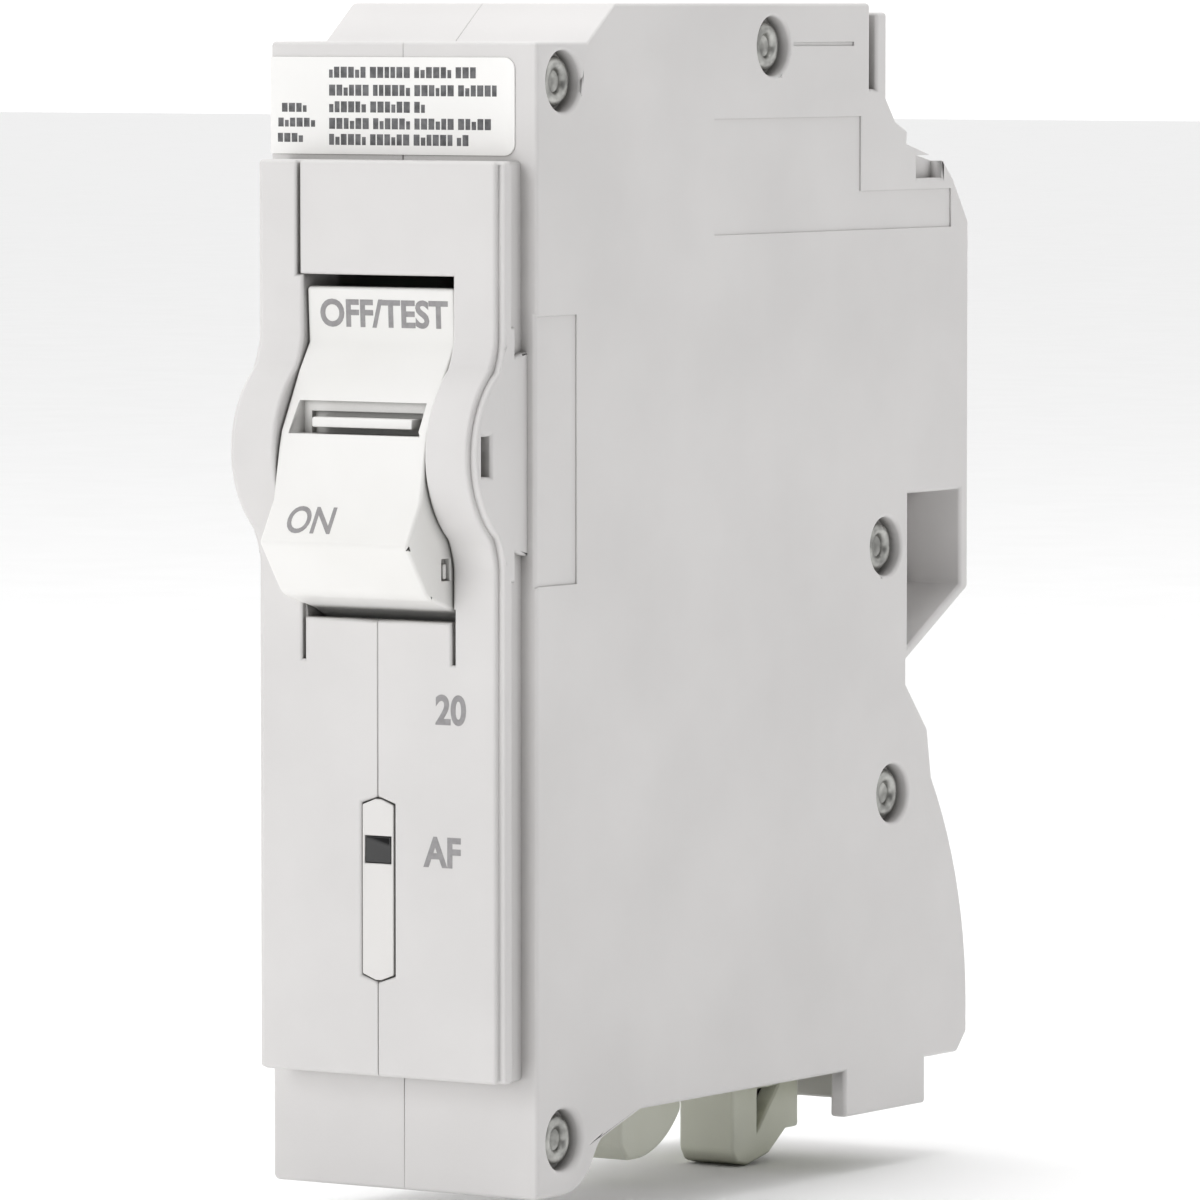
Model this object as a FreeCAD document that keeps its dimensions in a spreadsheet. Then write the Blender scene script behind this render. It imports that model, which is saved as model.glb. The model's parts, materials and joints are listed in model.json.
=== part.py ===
import FreeCAD, Part
import math
import os

import Sketcher
from FreeCAD import Placement, Rotation, Vector

# One-pole plug-on arc-fault circuit breaker, in millimetres.
# +X is to the right of somebody facing the handle, +Y runs into the panel, +Z is up.
# The origin is the middle of the line jaw's mouth, where the panel's bus stab enters.

DRIVING_SIZES = [
    # The moulded case.
    ("case_width", 25.0), ("case_depth", 65.2), ("case_height", 92.95), ("wall", 1.5),
    ("stab_depth", 60.0), ("stab_drop", 46.2),
    ("ledge_drop", 3.0), ("ledge_depth", 7.35), ("slope_run", 3.85), ("roof_length", 49.4),
    ("tab_drop", 0.75), ("tab_depth", 2.65), ("tab_height", 7.0), ("tab_slot", 1.05),
    ("tab_slot_depth", 3.0),
    ("step_fall", 1.9), ("step_run", 3.3), ("stair_run", 3.0), ("stair_fall", 2.7),
    ("shoulder_run", 3.0), ("corner_fall", 5.7),
    ("rear_wall_bottom", 48.5), ("neck_depth", 55.25), ("neck_top", 54.1), ("neck_height", 1.7),
    ("heel_step_run", 3.55), ("heel_step_fall", 4.1), ("heel_lip_run", 0.7), ("heel_lip_fall", 4.1),
    ("heel_radius", 35.6), ("heel_top_up", 9.95), ("heel_bottom_up", 7.3), ("heel_chamfer", 1.5),
    ("foot_rear", 58.5), ("foot_front", 45.8), ("foot_length", 3.75), ("underside_up", 5.7),
    ("chin_length", 15.1), ("chin_throat", 9.2), ("chin_throat_up", 3.85), ("chin_toe", 6.6),
    ("chin_round", 4.5),
    ("throat_round", 2.25), ("throat_blend", 1.5),
    # The raised front plate, its rim and the two cheeks beside the handle.
    ("plate_proud", 3.64), ("plate_top", 12.2), ("plate_bottom_up", 9.3), ("plate_half_width", 11.0),
    ("rim_step", 0.54), ("rim_width", 0.6), ("rim_depth", 1.05), ("front_wall", 1.7), ("brand_wall", 1.1),
    ("cheek_radius", 8.5), ("cheek_centre_depth", 0.9), ("cheek_blend", 3.0), ("blend_sink", 1.35),
    ("blend_radius", 6.0),
    ("opening_width", 14.1), ("opening_top", 21.1), ("opening_bottom", 47.9), ("brand_edge", 7.5),
    ("cheek_slot_height", 3.1), ("cheek_slot_width", 1.3), ("cheek_slot_reach", 6.25),
    ("panel_groove", 0.6), ("panel_groove_width", 0.3), ("panel_groove_length", 3.3),
    ("indicator_width", 2.9), ("indicator_top", 61.9), ("indicator_length", 14.2),
    ("indicator_point", 0.45),
    ("indicator_tip", 0.5), ("indicator_thickness", 1.2), ("lens_top", 64.8), ("lens_width", 2.5),
    ("lens_height", 2.15), ("skin_gap", 0.08),
    ("label_top", 4.2), ("label_height", 7.6), ("label_width", 23.0), ("label_thickness", 0.12),
    ("label_round", 0.8),
    # The side pocket, the line-stab chamber and the shallow recesses of the right side.
    ("pocket_front", 55.6), ("pocket_top", 40.3), ("pocket_depth", 6.0), ("pocket_rear_wall", 1.25),
    ("pocket_slant_wall", 1.0), ("pocket_floor", 1.2), ("stab_slot_width", 6.4), ("stab_slot_top", 41.2),
    ("stab_slot_bottom", 50.4), ("chamber_front", 54.6), ("chamber_top", 38.3),
    ("side_mark_depth", 0.15), ("notch_width", 4.1), ("notch_height", 1.9), ("notch_depth", 1.2),
    ("notch_bottom", 14.4),
    ("sticker_front", 25.7), ("sticker_rear", 62.3), ("sticker_corner", 48.0), ("sticker_top", 9.2),
    ("sticker_step", 15.3), ("sticker_bottom", 18.45),
    ("grip_rear", 5.65), ("grip_top", 24.2), ("grip_bottom", 45.15),
    ("roof_mark_front", 37.6), ("roof_mark_length", 9.3), ("roof_mark_drop", 3.15),
    ("roof_mark_width", 0.3),
    # Rivets: where each stands, and their common sizes.
    ("front_rivet_depth", 3.8), ("front_rivet_drop", 6.05), ("roof_rivet_depth", 34.6),
    ("roof_rivet_drop", 3.45),
    ("stab_rivet_depth", 52.1), ("stab_rivet_drop", 44.5), ("heel_rivet_depth", 53.2),
    ("heel_rivet_drop", 64.9),
    ("chin_rivet_depth", 3.9), ("chin_rivet_up", 4.35),
    ("rivet_radius", 1.55), ("rivet_clearance", 0.05), ("counterbore_radius", 2.42),
    ("rivet_head_gap", 0.4),
    ("counterbore_depth", 1.5), ("boss_radius", 3.3), ("rivet_head_height", 0.9),
    # Handle.
    ("pivot_depth", 4.4), ("pivot_drop", 34.85), ("pin_radius", 1.5), ("pin_end_gap", 0.3),
    ("running_clearance", 0.05),
    ("side_clearance", 0.1), ("nose_reach", 14.2), ("nose_fall", 6.95), ("apron_reach", 7.6),
    ("apron_rise", 12.8),
    ("apron_thickness", 1.6), ("skirt_radius", 14.15), ("drum_gap", 1.2), ("hub_radius", 4.4),
    ("pivot_boss_radius", 3.2), ("nose_round", 0.5), ("skirt_round", 2.0),
    ("finger_pocket_width", 10.4), ("finger_pocket_height", 1.7), ("finger_pocket_rise", 1.45),
    ("finger_pocket_depth", 2.2),
    # Switching mechanism.
    ("arm_pivot_depth", 20.0), ("arm_pivot_drop", 30.0), ("arm_pin_radius", 1.2), ("arm_hub_wall", 1.5),
    ("arm_thickness", 2.4), ("arm_depth", 3.0), ("arm_neck", 6.0), ("contact_depth", 39.5),
    ("contact_drop", 38.3),
    ("contact_radius", 1.9), ("contact_height", 1.1), ("contact_gap", 0.05), ("contact_margin", 0.3),
    ("arm_spring_depth", 29.0), ("arm_spring_foot", 33.8), ("arm_spring_head", 16.4),
    ("arm_spring_radius", 1.6),
    ("arm_spring_offset", 4.2), ("arm_spring_turns", 11), ("spring_wire", 0.6),
    ("spring_post_radius", 0.8),
    ("spring_post_margin", 1.8), ("spring_seat", 1.2),
    ("cradle_pivot_depth", 25.5), ("cradle_pivot_drop", 20.0), ("cradle_thickness", 1.4),
    ("cradle_offset", 2.4),
    ("cradle_reach", 38.0), ("cradle_width", 4.0), ("latch_gap", 0.9), ("partition_gap", 0.45),
    ("partition_thickness", 0.8), ("partition_bottom", 57.0),
    # Trip unit.
    ("armature_depth", 31.9), ("armature_top", 53.0), ("armature_length", 21.5),
    ("armature_thickness", 1.1),
    ("armature_width", 8.4), ("armature_eye_drop", 0.6), ("armature_eye_radius", 1.1),
    ("armature_pin_radius", 0.5),
    ("yoke_gap", 0.8), ("yoke_drop", 3.0), ("yoke_height", 10.0), ("yoke_wall", 1.2),
    ("bimetal_depth", 36.2), ("bimetal_top", 50.0), ("bimetal_thickness", 0.9), ("bimetal_width", 5.0),
    ("braid_thickness", 0.9), ("braid_width", 1.8), ("braid_bend", 14.0), ("braid_start", 5.4),
    ("braid_fall", 3.4),
    ("braid_weld", 0.4), ("strap_thickness", 1.0), ("strap_width", 5.0), ("load_strap_up", 15.0),
    ("screw_radius", 1.2), ("screw_drop", 15.5), ("screw_head_height", 1.0), ("screw_head_gap", 1.6),
    ("bracket_gap", 2.1), ("bracket_thickness", 1.2), ("bracket_below", 2.6), ("bracket_above", 3.4),
    ("bracket_margin", 0.5), ("armature_spring_inset", 0.6), ("armature_spring_side", 1.6),
    ("armature_spring_radius", 0.7), ("armature_spring_wire", 0.3), ("armature_spring_turns", 8),
    ("spring_end_gap", 0.25),
    # Line side.
    ("line_strap_drop", 39.45), ("line_strap_margin", 1.0), ("jaw_gap", 2.8), ("jaw_leaf", 0.8),
    ("jaw_length", 6.4),
    ("jaw_height", 6.0), ("jaw_clearance", 0.2), ("jaw_base_depth", 55.9), ("jaw_spring_leaf", 0.6),
    ("jaw_spring_front", 1.0), ("jaw_spring_rear", 1.5), ("plate_pitch", 2.6),
    ("arc_plate_thickness", 0.8),
    ("arc_plate_count", 8), ("arc_plate_rise", 0.6), ("arc_plate_gap", 0.2), ("arc_notch_width", 3.2),
    ("arc_notch_depth", 2.6), ("chute_front", 43.8), ("chute_depth", 8.4), ("chute_bottom", 37.4),
    ("chute_width", 12.4), ("chute_wall", 0.8),
    # Plug-on fingers at the foot.
    ("hook_front", 44.2), ("hook_rear", 54.45), ("hook_width", 5.3), ("hook_drop_below", 2.75),
    ("hook_rear_below", 0.25), ("hook_shoulder", 1.6), ("hook_collar", 0.9), ("hook_round", 0.6),
    ("toe_fall", 1.4),
    ("toe_run", 2.2), ("heel_run", 4.6), ("heel_slope", 1.9), ("hook_window_front", 3.9),
    ("hook_window_rear", 3.1),
    ("hook_window_top", 2.3), ("hook_window_tip", 0.3), ("carrier_height", 2.6), ("hook_leaf", 0.8),
    ("hook_slot_front", 1.0), ("hook_slot_rear", 0.8), ("hook_slot_floor", 0.8), ("jaw_blade_gap", 0.1),
    ("load_drop_offset", 3.4), ("load_strap_lead", 0.7),
    ("lobe_front", 28.3), ("lobe_rear", 37.3), ("lobe_below", 0.6), ("lobe_width", 4.0),
    ("lobe_fall", 3.4),
    ("lobe_bulge", 9.0), ("lobe_round", 0.6), ("lobe_toe_run", 1.1), ("lobe_sole_run", 3.1),
    ("lobe_toe_rise", 1.2),
    ("lead_offset", 6.2), ("lead_rise", 4.5), ("lead_radius", 0.55), ("lead_side", 1.0),
    # Electronics.
    ("board_thickness", 1.0), ("board_clearance", 0.3), ("board_front", 19.5),
    ("board_rear_gap", 0.1),
    ("board_top", 8.6), ("board_bottom_up", 9.0), ("part_gap", 0.05), ("chip_height", 1.0),
    ("controller_depth", 27.0), ("controller_drop", 40.0), ("controller_side", 6.0),
    ("thyristor_depth", 38.0), ("thyristor_drop", 48.0), ("thyristor_width", 5.0),
    ("thyristor_height", 6.0),
    ("diode_depth", 24.0), ("diode_drop", 14.0), ("diode_pitch", 4.2), ("diode_row", 4.5),
    ("diode_length", 3.2),
    ("diode_width", 2.0), ("resistor_depth", 37.0), ("resistor_drop", 26.0), ("resistor_pitch", 2.8),
    ("resistor_row", 3.0), ("resistor_length", 1.6), ("resistor_width", 0.9),
    ("capacitor_depth", 23.0), ("capacitor_bottom", 72.0), ("capacitor_length", 10.0),
    ("capacitor_radius", 2.8),
    ("capacitor_standoff", 1.1), ("varistor_depth", 9.5), ("varistor_drop", 58.5),
    ("varistor_radius", 4.2),
    ("varistor_thickness", 3.4), ("varistor_side", 3.2), ("test_depth", 15.4), ("test_leaf", 0.5),
    ("test_top", 52.0),
    ("test_bottom", 59.5), ("test_foot", 1.2), ("test_side", 5.4), ("test_width", 1.6), ("test_pad", 0.6),
    ("test_reach", 2.0), ("led_radius", 1.0), ("led_length", 4.0), ("led_gap", 0.15),
    ("solenoid_drop", 68.6), ("solenoid_side", 3.0), ("solenoid_front", 12.4), ("solenoid_length", 14.0),
    ("frame_plate", 1.0), ("frame_gap", 0.3), ("flange_thickness", 0.8), ("flange_gap", 0.2),
    ("coil_radius", 4.6),
    ("core_tube_radius", 2.3), ("plunger_radius", 1.5), ("plunger_gap", 0.1), ("plunger_inset", 3.0),
    ("plunger_nose_gap", 0.35), ("plunger_collar", 0.7), ("plunger_collar_lip", 1.2),
    ("plunger_spring_gap", 0.3),
    ("plunger_spring_lip", 0.65), ("plunger_spring_wire", 0.45), ("plunger_spring_turns", 5),
    ("transformer_depth", 41.2), ("transformer_bore", 3.4),
    ("transformer_length", 4.6), ("winding_cover", 0.7),
]


class Size:
    """A length: its value now, and the expression over the sheet that keeps it up to date."""

    def __init__(self, value, text):
        self.value = value
        self.text = text

    def __add__(self, other):
        other = as_size(other)
        return Size(self.value + other.value, f"({self.text} + {other.text})")

    def __sub__(self, other):
        other = as_size(other)
        return Size(self.value - other.value, f"({self.text} - {other.text})")

    def __mul__(self, factor):
        return Size(self.value * factor, f"({self.text} * {factor})")

    def __truediv__(self, divisor):
        return Size(self.value / divisor, f"({self.text} / {divisor})")

    def __neg__(self):
        return Size(-self.value, f"(0 - {self.text})")

    def __radd__(self, other):
        return as_size(other) + self

    def __rsub__(self, other):
        return as_size(other) - self


def as_size(value):
    """Let a plain number stand where a size is expected."""
    return value if isinstance(value, Size) else Size(float(value), repr(float(value)))


document = FreeCAD.newDocument("arc_fault_breaker")
sheet = document.addObject("Spreadsheet::Sheet", "sizes")
for row, (alias, number) in enumerate(DRIVING_SIZES, start=1):
    sheet.set(f"A{row}", alias)
    sheet.set(f"B{row}", str(number))
    sheet.setAlias(f"B{row}", alias)
document.recompute()


class SheetSizes:
    """Reads the sheet's aliases as Size attributes."""

    def __getattr__(self, alias):
        return Size(float(getattr(sheet, alias)), f"sizes.{alias}")


size = SheetSizes()
nodes = {}


# ---------------------------------------------------------------- places

def back(distance):
    """Y of a point this far behind the case's front face."""
    return as_size(distance) - size.stab_depth


def down(distance):
    """Z of a point this far below the case's roof."""
    return size.stab_drop - distance


def above(distance):
    """Z of a point this far above the chin's lowest edge."""
    return size.stab_drop - size.case_height + distance


PAST = 1.0  # how far a cutter runs past the face that it opens
half_width = size.case_width / 2
inner_half = half_width - size.wall
opening_half = size.opening_width / 2
pivot_y = back(size.pivot_depth)
pivot_z = down(size.pivot_drop)


# ---------------------------------------------------------------- building blocks

def bind(thing, target, value):
    """Give one property its expression over the sheet."""
    thing.setExpression(target, as_size(value).text)


def place(thing, x, y, z, rotation=Rotation()):
    """Put an object at a bound position."""
    spot = [as_size(value) for value in (x, y, z)]
    thing.Placement = Placement(Vector(*[value.value for value in spot]), rotation)
    for axis, value in zip("xyz", spot):
        bind(thing, f"Placement.Base.{axis}", value)


def block(name, x0, x1, y0, y1, z0, z1):
    """A box between two corners."""
    box = document.addObject("Part::Box", name)
    low = [as_size(value) for value in (x0, y0, z0)]
    high = [as_size(value) for value in (x1, y1, z1)]
    for side, first, last in zip(("Length", "Width", "Height"), low, high):
        bind(box, side, last - first)
    place(box, *low)
    return box


TURNS = {"x": Rotation(Vector(0, 1, 0), 90), "y": Rotation(Vector(1, 0, 0), -90), "z": Rotation()}


def rod(name, axis, start, length, centre, radius):
    """A cylinder along one axis: start on that axis, centre on the other two in X, Y, Z order."""
    cylinder = document.addObject("Part::Cylinder", name)
    bind(cylinder, "Radius", radius)
    bind(cylinder, "Height", length)
    spot = list(centre)
    spot.insert("xyz".index(axis), start)
    place(cylinder, *spot, rotation=TURNS[axis])
    return cylinder


def fuse(name, *pieces):
    """Join solids into one."""
    joined = document.addObject("Part::MultiFuse", name)
    joined.Shapes = list(pieces)
    joined.Refine = True
    return joined


def common(name, first, second):
    """What two solids share."""
    shared = document.addObject("Part::MultiCommon", name)
    shared.Shapes = [first, second]
    return shared


def cut(name, base, *tools):
    """Take one or more tools out of a solid."""
    tool = tools[0] if len(tools) == 1 else fuse(name + "_tools", *tools)
    remaining = document.addObject("Part::Cut", name)
    remaining.Base = base
    remaining.Tool = tool
    remaining.Refine = True
    return remaining


def group(name, pieces):
    """Several separate solids in one node."""
    together = document.addObject("Part::Compound", name)
    together.Links = list(pieces)
    return together


def arc_edge(first, last, radius):
    """An arc between two points of an outline; a positive radius bulges to the left of the run."""
    chord = last - first
    reach = abs(radius)
    height = math.sqrt(max(reach ** 2 - (chord.Length / 2) ** 2, 0.0))
    side = Vector(chord.y, -chord.x, 0).normalize() * (1 if radius > 0 else -1)
    centre = (first + last) / 2 + side * height
    begin = math.atan2(first.y - centre.y, first.x - centre.x)
    end = math.atan2(last.y - centre.y, last.x - centre.x)
    # A sketch stores every arc anticlockwise, so a left bulge is kept from its last point to its first.
    if radius > 0:
        begin, end = end, begin
    if end < begin:
        end += 2 * math.pi
    return Part.ArcOfCircle(Part.Circle(centre, Vector(0, 0, 1), reach), begin, end)


PLANES = {"x": "YZ_Plane", "y": "XZ_Plane", "z": "XY_Plane"}


def prism(name, axis, start, end, corners, rounds=()):
    """A closed outline pushed along one axis.

    Each corner is (u, v) or (u, v, radius): with a radius, the run that ends there is an arc.
    u and v are Y, Z for axis x; X, Z for axis y (seen from the front); X, Y for axis z.
    rounds holds (radius, [corner indices]) for the edges that are rounded.
    """
    body = document.addObject("PartDesign::Body", name)
    sketch = body.newObject("Sketcher::SketchObject", name + "_outline")
    plane = [item for item in body.Origin.OriginFeatures if item.Role == PLANES[axis]][0]
    sketch.AttachmentSupport = (plane, [""])
    sketch.MapMode = "FlatFace"
    # The XZ plane's normal is -Y, so a prism along y starts from its far end.
    start, end = as_size(start), as_size(end)
    offset = -end if axis == "y" else start
    sketch.AttachmentOffset = Placement(Vector(0, 0, offset.value), Rotation())
    bind(sketch, "AttachmentOffset.Base.z", offset)
    points = [(as_size(corner[0]), as_size(corner[1])) for corner in corners]
    spots = [Vector(u.value, v.value, 0) for u, v in points]
    count = len(points)
    ends = []
    for index in range(count):
        first, last = spots[index - 1], spots[index]
        arc = len(corners[index]) == 3
        if arc:
            radius = as_size(corners[index][2])
            geometry = sketch.addGeometry(arc_edge(first, last, radius.value), False)
            ends.append((geometry, 2, 1) if radius.value > 0 else (geometry, 1, 2))
            rule = sketch.addConstraint(Sketcher.Constraint("Radius", geometry, abs(radius.value)))
            sketch.setExpression(f"Constraints[{rule}]", radius.text if radius.value > 0 else (-radius).text)
        else:
            geometry = sketch.addGeometry(Part.LineSegment(first, last), False)
            ends.append((geometry, 1, 2))
    for index in range(count):
        geometry, _, finish = ends[index]
        following, begin, _ = ends[(index + 1) % count]
        sketch.addConstraint(Sketcher.Constraint("Coincident", geometry, finish, following, begin))
        for kind, value in zip(("DistanceX", "DistanceY"), points[index]):
            rule = sketch.addConstraint(Sketcher.Constraint(kind, -1, 1, geometry, finish, value.value))
            sketch.setExpression(f"Constraints[{rule}]", value.text)
    pad = body.newObject("PartDesign::Pad", name + "_pad")
    pad.Profile = sketch
    bind(pad, "Length", end - start)
    body.Tip = pad
    if rounds:
        document.recompute()
    for step, (radius, indices) in enumerate(rounds):
        wanted = [spots[index] for index in indices]
        before = body.Tip
        fillet = body.newObject("PartDesign::Fillet", f"{name}_round_{step}")
        fillet.Base = (before, matching_edges(before.Shape, axis, wanted))
        bind(fillet, "Radius", radius)
        body.Tip = fillet
        document.recompute()
    return body


def matching_edges(shape, axis, spots):
    """Names of the straight edges along one axis that stand over the given outline corners."""
    keep = {"x": (1, 2), "y": (0, 2), "z": (0, 1)}[axis]
    found = []
    for number, edge in enumerate(shape.Edges, start=1):
        ends = [vertex.Point for vertex in edge.Vertexes]
        if len(ends) != 2:
            continue
        flat = [Vector(point[keep[0]], point[keep[1]], 0) for point in ends]
        if (flat[0] - flat[1]).Length < 1e-6 and any((flat[0] - spot).Length < 1e-4 for spot in spots):
            found.append(f"Edge{number}")
    return found


def coil_spring(name, start, length, centre, radius, wire, axis, turns):
    """A coil spring: a round wire swept along a helix."""
    count, reach, mean = round(turns.value), length.value, radius.value
    helix = Part.makeHelix(reach / count, reach, mean)
    ring = Part.Wire([Part.makeCircle(wire.value / 2, Vector(mean, 0, 0), Vector(0, 1, 0))])
    spring = document.addObject("Part::Feature", name)
    spring.Shape = Part.Wire(helix.Edges).makePipeShell([ring], True, True)
    spot = list(centre)
    spot.insert("xyz".index(axis), start)
    place(spring, *spot, rotation=TURNS[axis])
    return spring


def keep(name, thing):
    """Register a finished sub-part under its node name."""
    thing.Label = name
    nodes[name] = thing
    return thing


# ---------------------------------------------------------------- case

# The stepped rear top corner, from the tab down to the shoulder.
tab_rear = back(size.roof_length + size.tab_depth)
tab_foot = size.tab_drop + size.tab_height
step_y = tab_rear + size.step_run
step_foot = tab_foot + size.step_fall
stair_y = step_y + size.stair_run
stair_foot = step_foot + size.stair_fall
shoulder_y = stair_y + size.shoulder_run
rear_y = back(size.case_depth)
# The heel, from the neck down to the underside.
heel_y = back(size.neck_depth) + size.heel_step_run
heel_drop = size.neck_top + size.neck_height + size.heel_step_fall
floor_z = above(size.underside_up)
# The front plate.
plate_y = back(0) - size.plate_proud
plate_inner_y = plate_y + size.front_wall


def case_block():
    """The plain side outline of the case, as deep and wide as both shells together."""
    foot_z = floor_z - size.foot_length
    return prism("case_block", "x", -half_width, half_width, [
        (back(0), down(size.ledge_drop)),
        (back(size.ledge_depth), down(size.ledge_drop)),
        (back(size.ledge_depth + size.slope_run), down(0)),
        (back(size.roof_length), down(0)),
        (back(size.roof_length), down(size.tab_drop)),
        (tab_rear, down(size.tab_drop)),
        (tab_rear, down(tab_foot)),
        (tab_rear + size.wall, down(step_foot)),
        (step_y, down(step_foot + size.tab_drop)),
        (step_y, down(stair_foot - size.tab_drop)),
        (stair_y, down(stair_foot)),
        (shoulder_y, down(stair_foot + size.tab_drop)),
        (shoulder_y + size.wall, down(stair_foot + size.tab_drop + size.wall)),
        (rear_y, down(stair_foot + size.corner_fall)),
        (rear_y, down(size.rear_wall_bottom)),
        (back(size.neck_depth), down(size.neck_top)),
        (back(size.neck_depth), down(size.neck_top + size.neck_height)),
        (heel_y, down(heel_drop)),
        (heel_y + size.heel_lip_run, down(heel_drop + size.heel_lip_fall)),
        (rear_y, above(size.heel_top_up), size.heel_radius),
        (rear_y, above(size.heel_bottom_up)),
        (rear_y - size.heel_chamfer, floor_z),
        (back(size.foot_rear), floor_z),
        (back(size.foot_rear), foot_z),
        (back(size.foot_front), foot_z),
        (back(size.foot_front), floor_z),
        (back(size.chin_length), floor_z),
        (back(size.chin_throat), above(size.chin_throat_up)),
        (back(size.chin_toe), above(0)),
        (back(0), above(0)),
    ], rounds=[(size.chin_round, [28]), (size.throat_round, [27]), (size.throat_blend, [26])])


def cheek_swell(name, x0, x1, inset):
    """The round swelling of a cheek beside the handle, with its two hollow blends to the plate."""
    radius = size.cheek_radius - inset
    swell = rod(name + "_round", "x", x0, x1 - x0, (back(size.cheek_centre_depth), pivot_z), radius)
    front = plate_y + inset
    # Where the circle meets the plate's face, a wedge under a hollow arc fills the corner.
    drop = size.plate_proud - inset + size.cheek_centre_depth
    half_chord = Size(math.sqrt(radius.value ** 2 - drop.value ** 2),
                      f"sqrt({radius.text} ^ 2 - {drop.text} ^ 2)")
    wedges = []
    for side, label in ((1, "upper"), (-1, "lower")):
        inner_z = pivot_z + (half_chord - size.blend_sink) * side
        outer_z = pivot_z + (half_chord + size.cheek_blend) * side
        corners = [
            (front + size.wall, inner_z),
            (front - size.blend_sink, inner_z),
            (front, outer_z, -size.blend_radius * side),
            (front + size.wall, outer_z),
        ]
        wedges.append(prism(f"{name}_{label}_blend", "x", x0, x1, corners))
    return fuse(name, swell, *wedges)


def front_plate():
    """The raised plate with its stepped rim and the two swelling cheeks."""
    top, bottom = down(size.plate_top), above(size.plate_bottom_up)
    plate = block("plate", -size.plate_half_width, size.plate_half_width, plate_y, back(size.wall),
                  bottom, top)
    rim_half = size.plate_half_width + size.rim_width
    rim_y = plate_y + size.rim_step
    rim = block("rim", -rim_half, rim_half, rim_y, rim_y + size.rim_depth, bottom, top)
    swells = []
    for side, label in ((-1, "left"), (1, "right")):
        inner, outer = opening_half, size.plate_half_width
        low, high = (inner, outer) if side > 0 else (-outer, -inner)
        swells.append(cheek_swell(f"{label}_cheek", low, high, as_size(0)))
        low, high = (outer, rim_half) if side > 0 else (-rim_half, -outer)
        swells.append(cheek_swell(f"{label}_rim_cheek", low, high, size.rim_step))
    return [plate, rim] + swells


def case_cavity():
    """The room inside both shells."""
    wall = size.wall
    rear = rear_y - wall
    floor = floor_z + wall
    # A sloping wall needs more than its thickness measured along one axis.
    slant = wall * 1.4
    thin_slant = wall * 0.6
    room = prism("cavity", "x", -inner_half, inner_half, [
        (back(wall), down(size.ledge_drop + wall)),
        (back(size.ledge_depth + thin_slant), down(size.ledge_drop + wall)),
        (back(size.ledge_depth + size.slope_run + thin_slant), down(wall)),
        (back(size.roof_length) - wall, down(wall)),
        (back(size.roof_length) - wall, down(stair_foot - size.tab_drop)),
        (tab_rear, down(stair_foot + wall)),
        (rear, down(stair_foot + size.corner_fall + wall)),
        (rear, down(size.chamber_top)),
        (back(size.chamber_front), down(size.chamber_top)),
        (back(size.chamber_front), down(size.neck_top + wall)),
        (back(size.neck_depth) - wall, down(size.neck_top + size.neck_height)),
        (heel_y - slant, down(heel_drop + thin_slant)),
        (heel_y - slant + size.heel_lip_run, down(heel_drop + size.heel_lip_fall)),
        (rear + thin_slant, above(size.heel_top_up), size.heel_radius),
        (rear + thin_slant, floor),
        (back(size.chin_length), floor),
        (back(size.chin_throat) - wall, above(size.chin_throat_up + wall)),
        (back(size.chin_toe) - slant, above(wall)),
        (back(wall), above(wall)),
    ])
    panel_half = size.plate_half_width - wall
    lower = block("panel_room", -panel_half, panel_half, plate_inner_y, back(wall * 2),
                  above(size.plate_bottom_up + wall), down(size.opening_bottom))
    upper = block("brand_room", -panel_half, panel_half, plate_y + size.brand_wall, back(wall * 2),
                  down(size.opening_top), down(size.plate_top + wall))
    # The line jaw's chamber narrows to a slot through the rear wall.
    chamber_x = half_width - size.pocket_depth - size.pocket_floor
    chamber_y = back(size.chamber_front) - PAST
    chamber = prism("stab_chamber", "x", -size.stab_slot_width / 2 - wall, chamber_x, [
        (chamber_y, down(size.chamber_top - PAST)),
        (rear, down(size.chamber_top - PAST)),
        (rear, down(size.rear_wall_bottom + wall / 2)),
        (back(size.chamber_front), down(size.neck_top + slant)),
        (chamber_y, down(size.neck_top + slant)),
    ])
    foot_room = block("foot_room", -inner_half, inner_half, foot_room_front, foot_room_rear,
                      above(0), floor + wall)
    return [room, lower, upper, chamber, foot_room, clip_hole()]


foot_room_front = back(size.foot_front) - size.wall / 2
foot_room_rear = back(size.foot_rear) - size.wall


def clip_hole():
    """The hole in the case's floor that the neutral clip drops through."""
    gap = size.part_gap
    half = size.lobe_width / 2 + gap
    return block("clip_hole", -half, half, back(size.lobe_front) - gap, back(size.lobe_rear) + gap,
                 above(0), floor_z + size.wall * 2)


RIVETS = {
    "front_top": (back(size.front_rivet_depth), down(size.front_rivet_drop)),
    "roof": (back(size.roof_rivet_depth), down(size.roof_rivet_drop)),
    "stab": (back(size.stab_rivet_depth), down(size.stab_rivet_drop)),
    "heel": (back(size.heel_rivet_depth), down(size.heel_rivet_drop)),
    "chin": (back(size.chin_rivet_depth), above(size.chin_rivet_up)),
}


def handle_swing_room():
    """The opening in the front and the round room that the handle turns in."""
    mouth = block("handle_mouth", -opening_half, opening_half, back(0) - size.nose_reach, pivot_y,
                  down(size.opening_bottom), down(size.opening_top))
    reach = size.skirt_radius + size.drum_gap
    drum = rod("handle_drum", "x", -opening_half, size.opening_width, (pivot_y, pivot_z), reach)
    behind = block("behind_walls", -opening_half, opening_half, plate_inner_y, pivot_y + reach,
                   pivot_z - reach, pivot_z + reach)
    return [mouth, common("handle_turning_room", drum, behind)]


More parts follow.
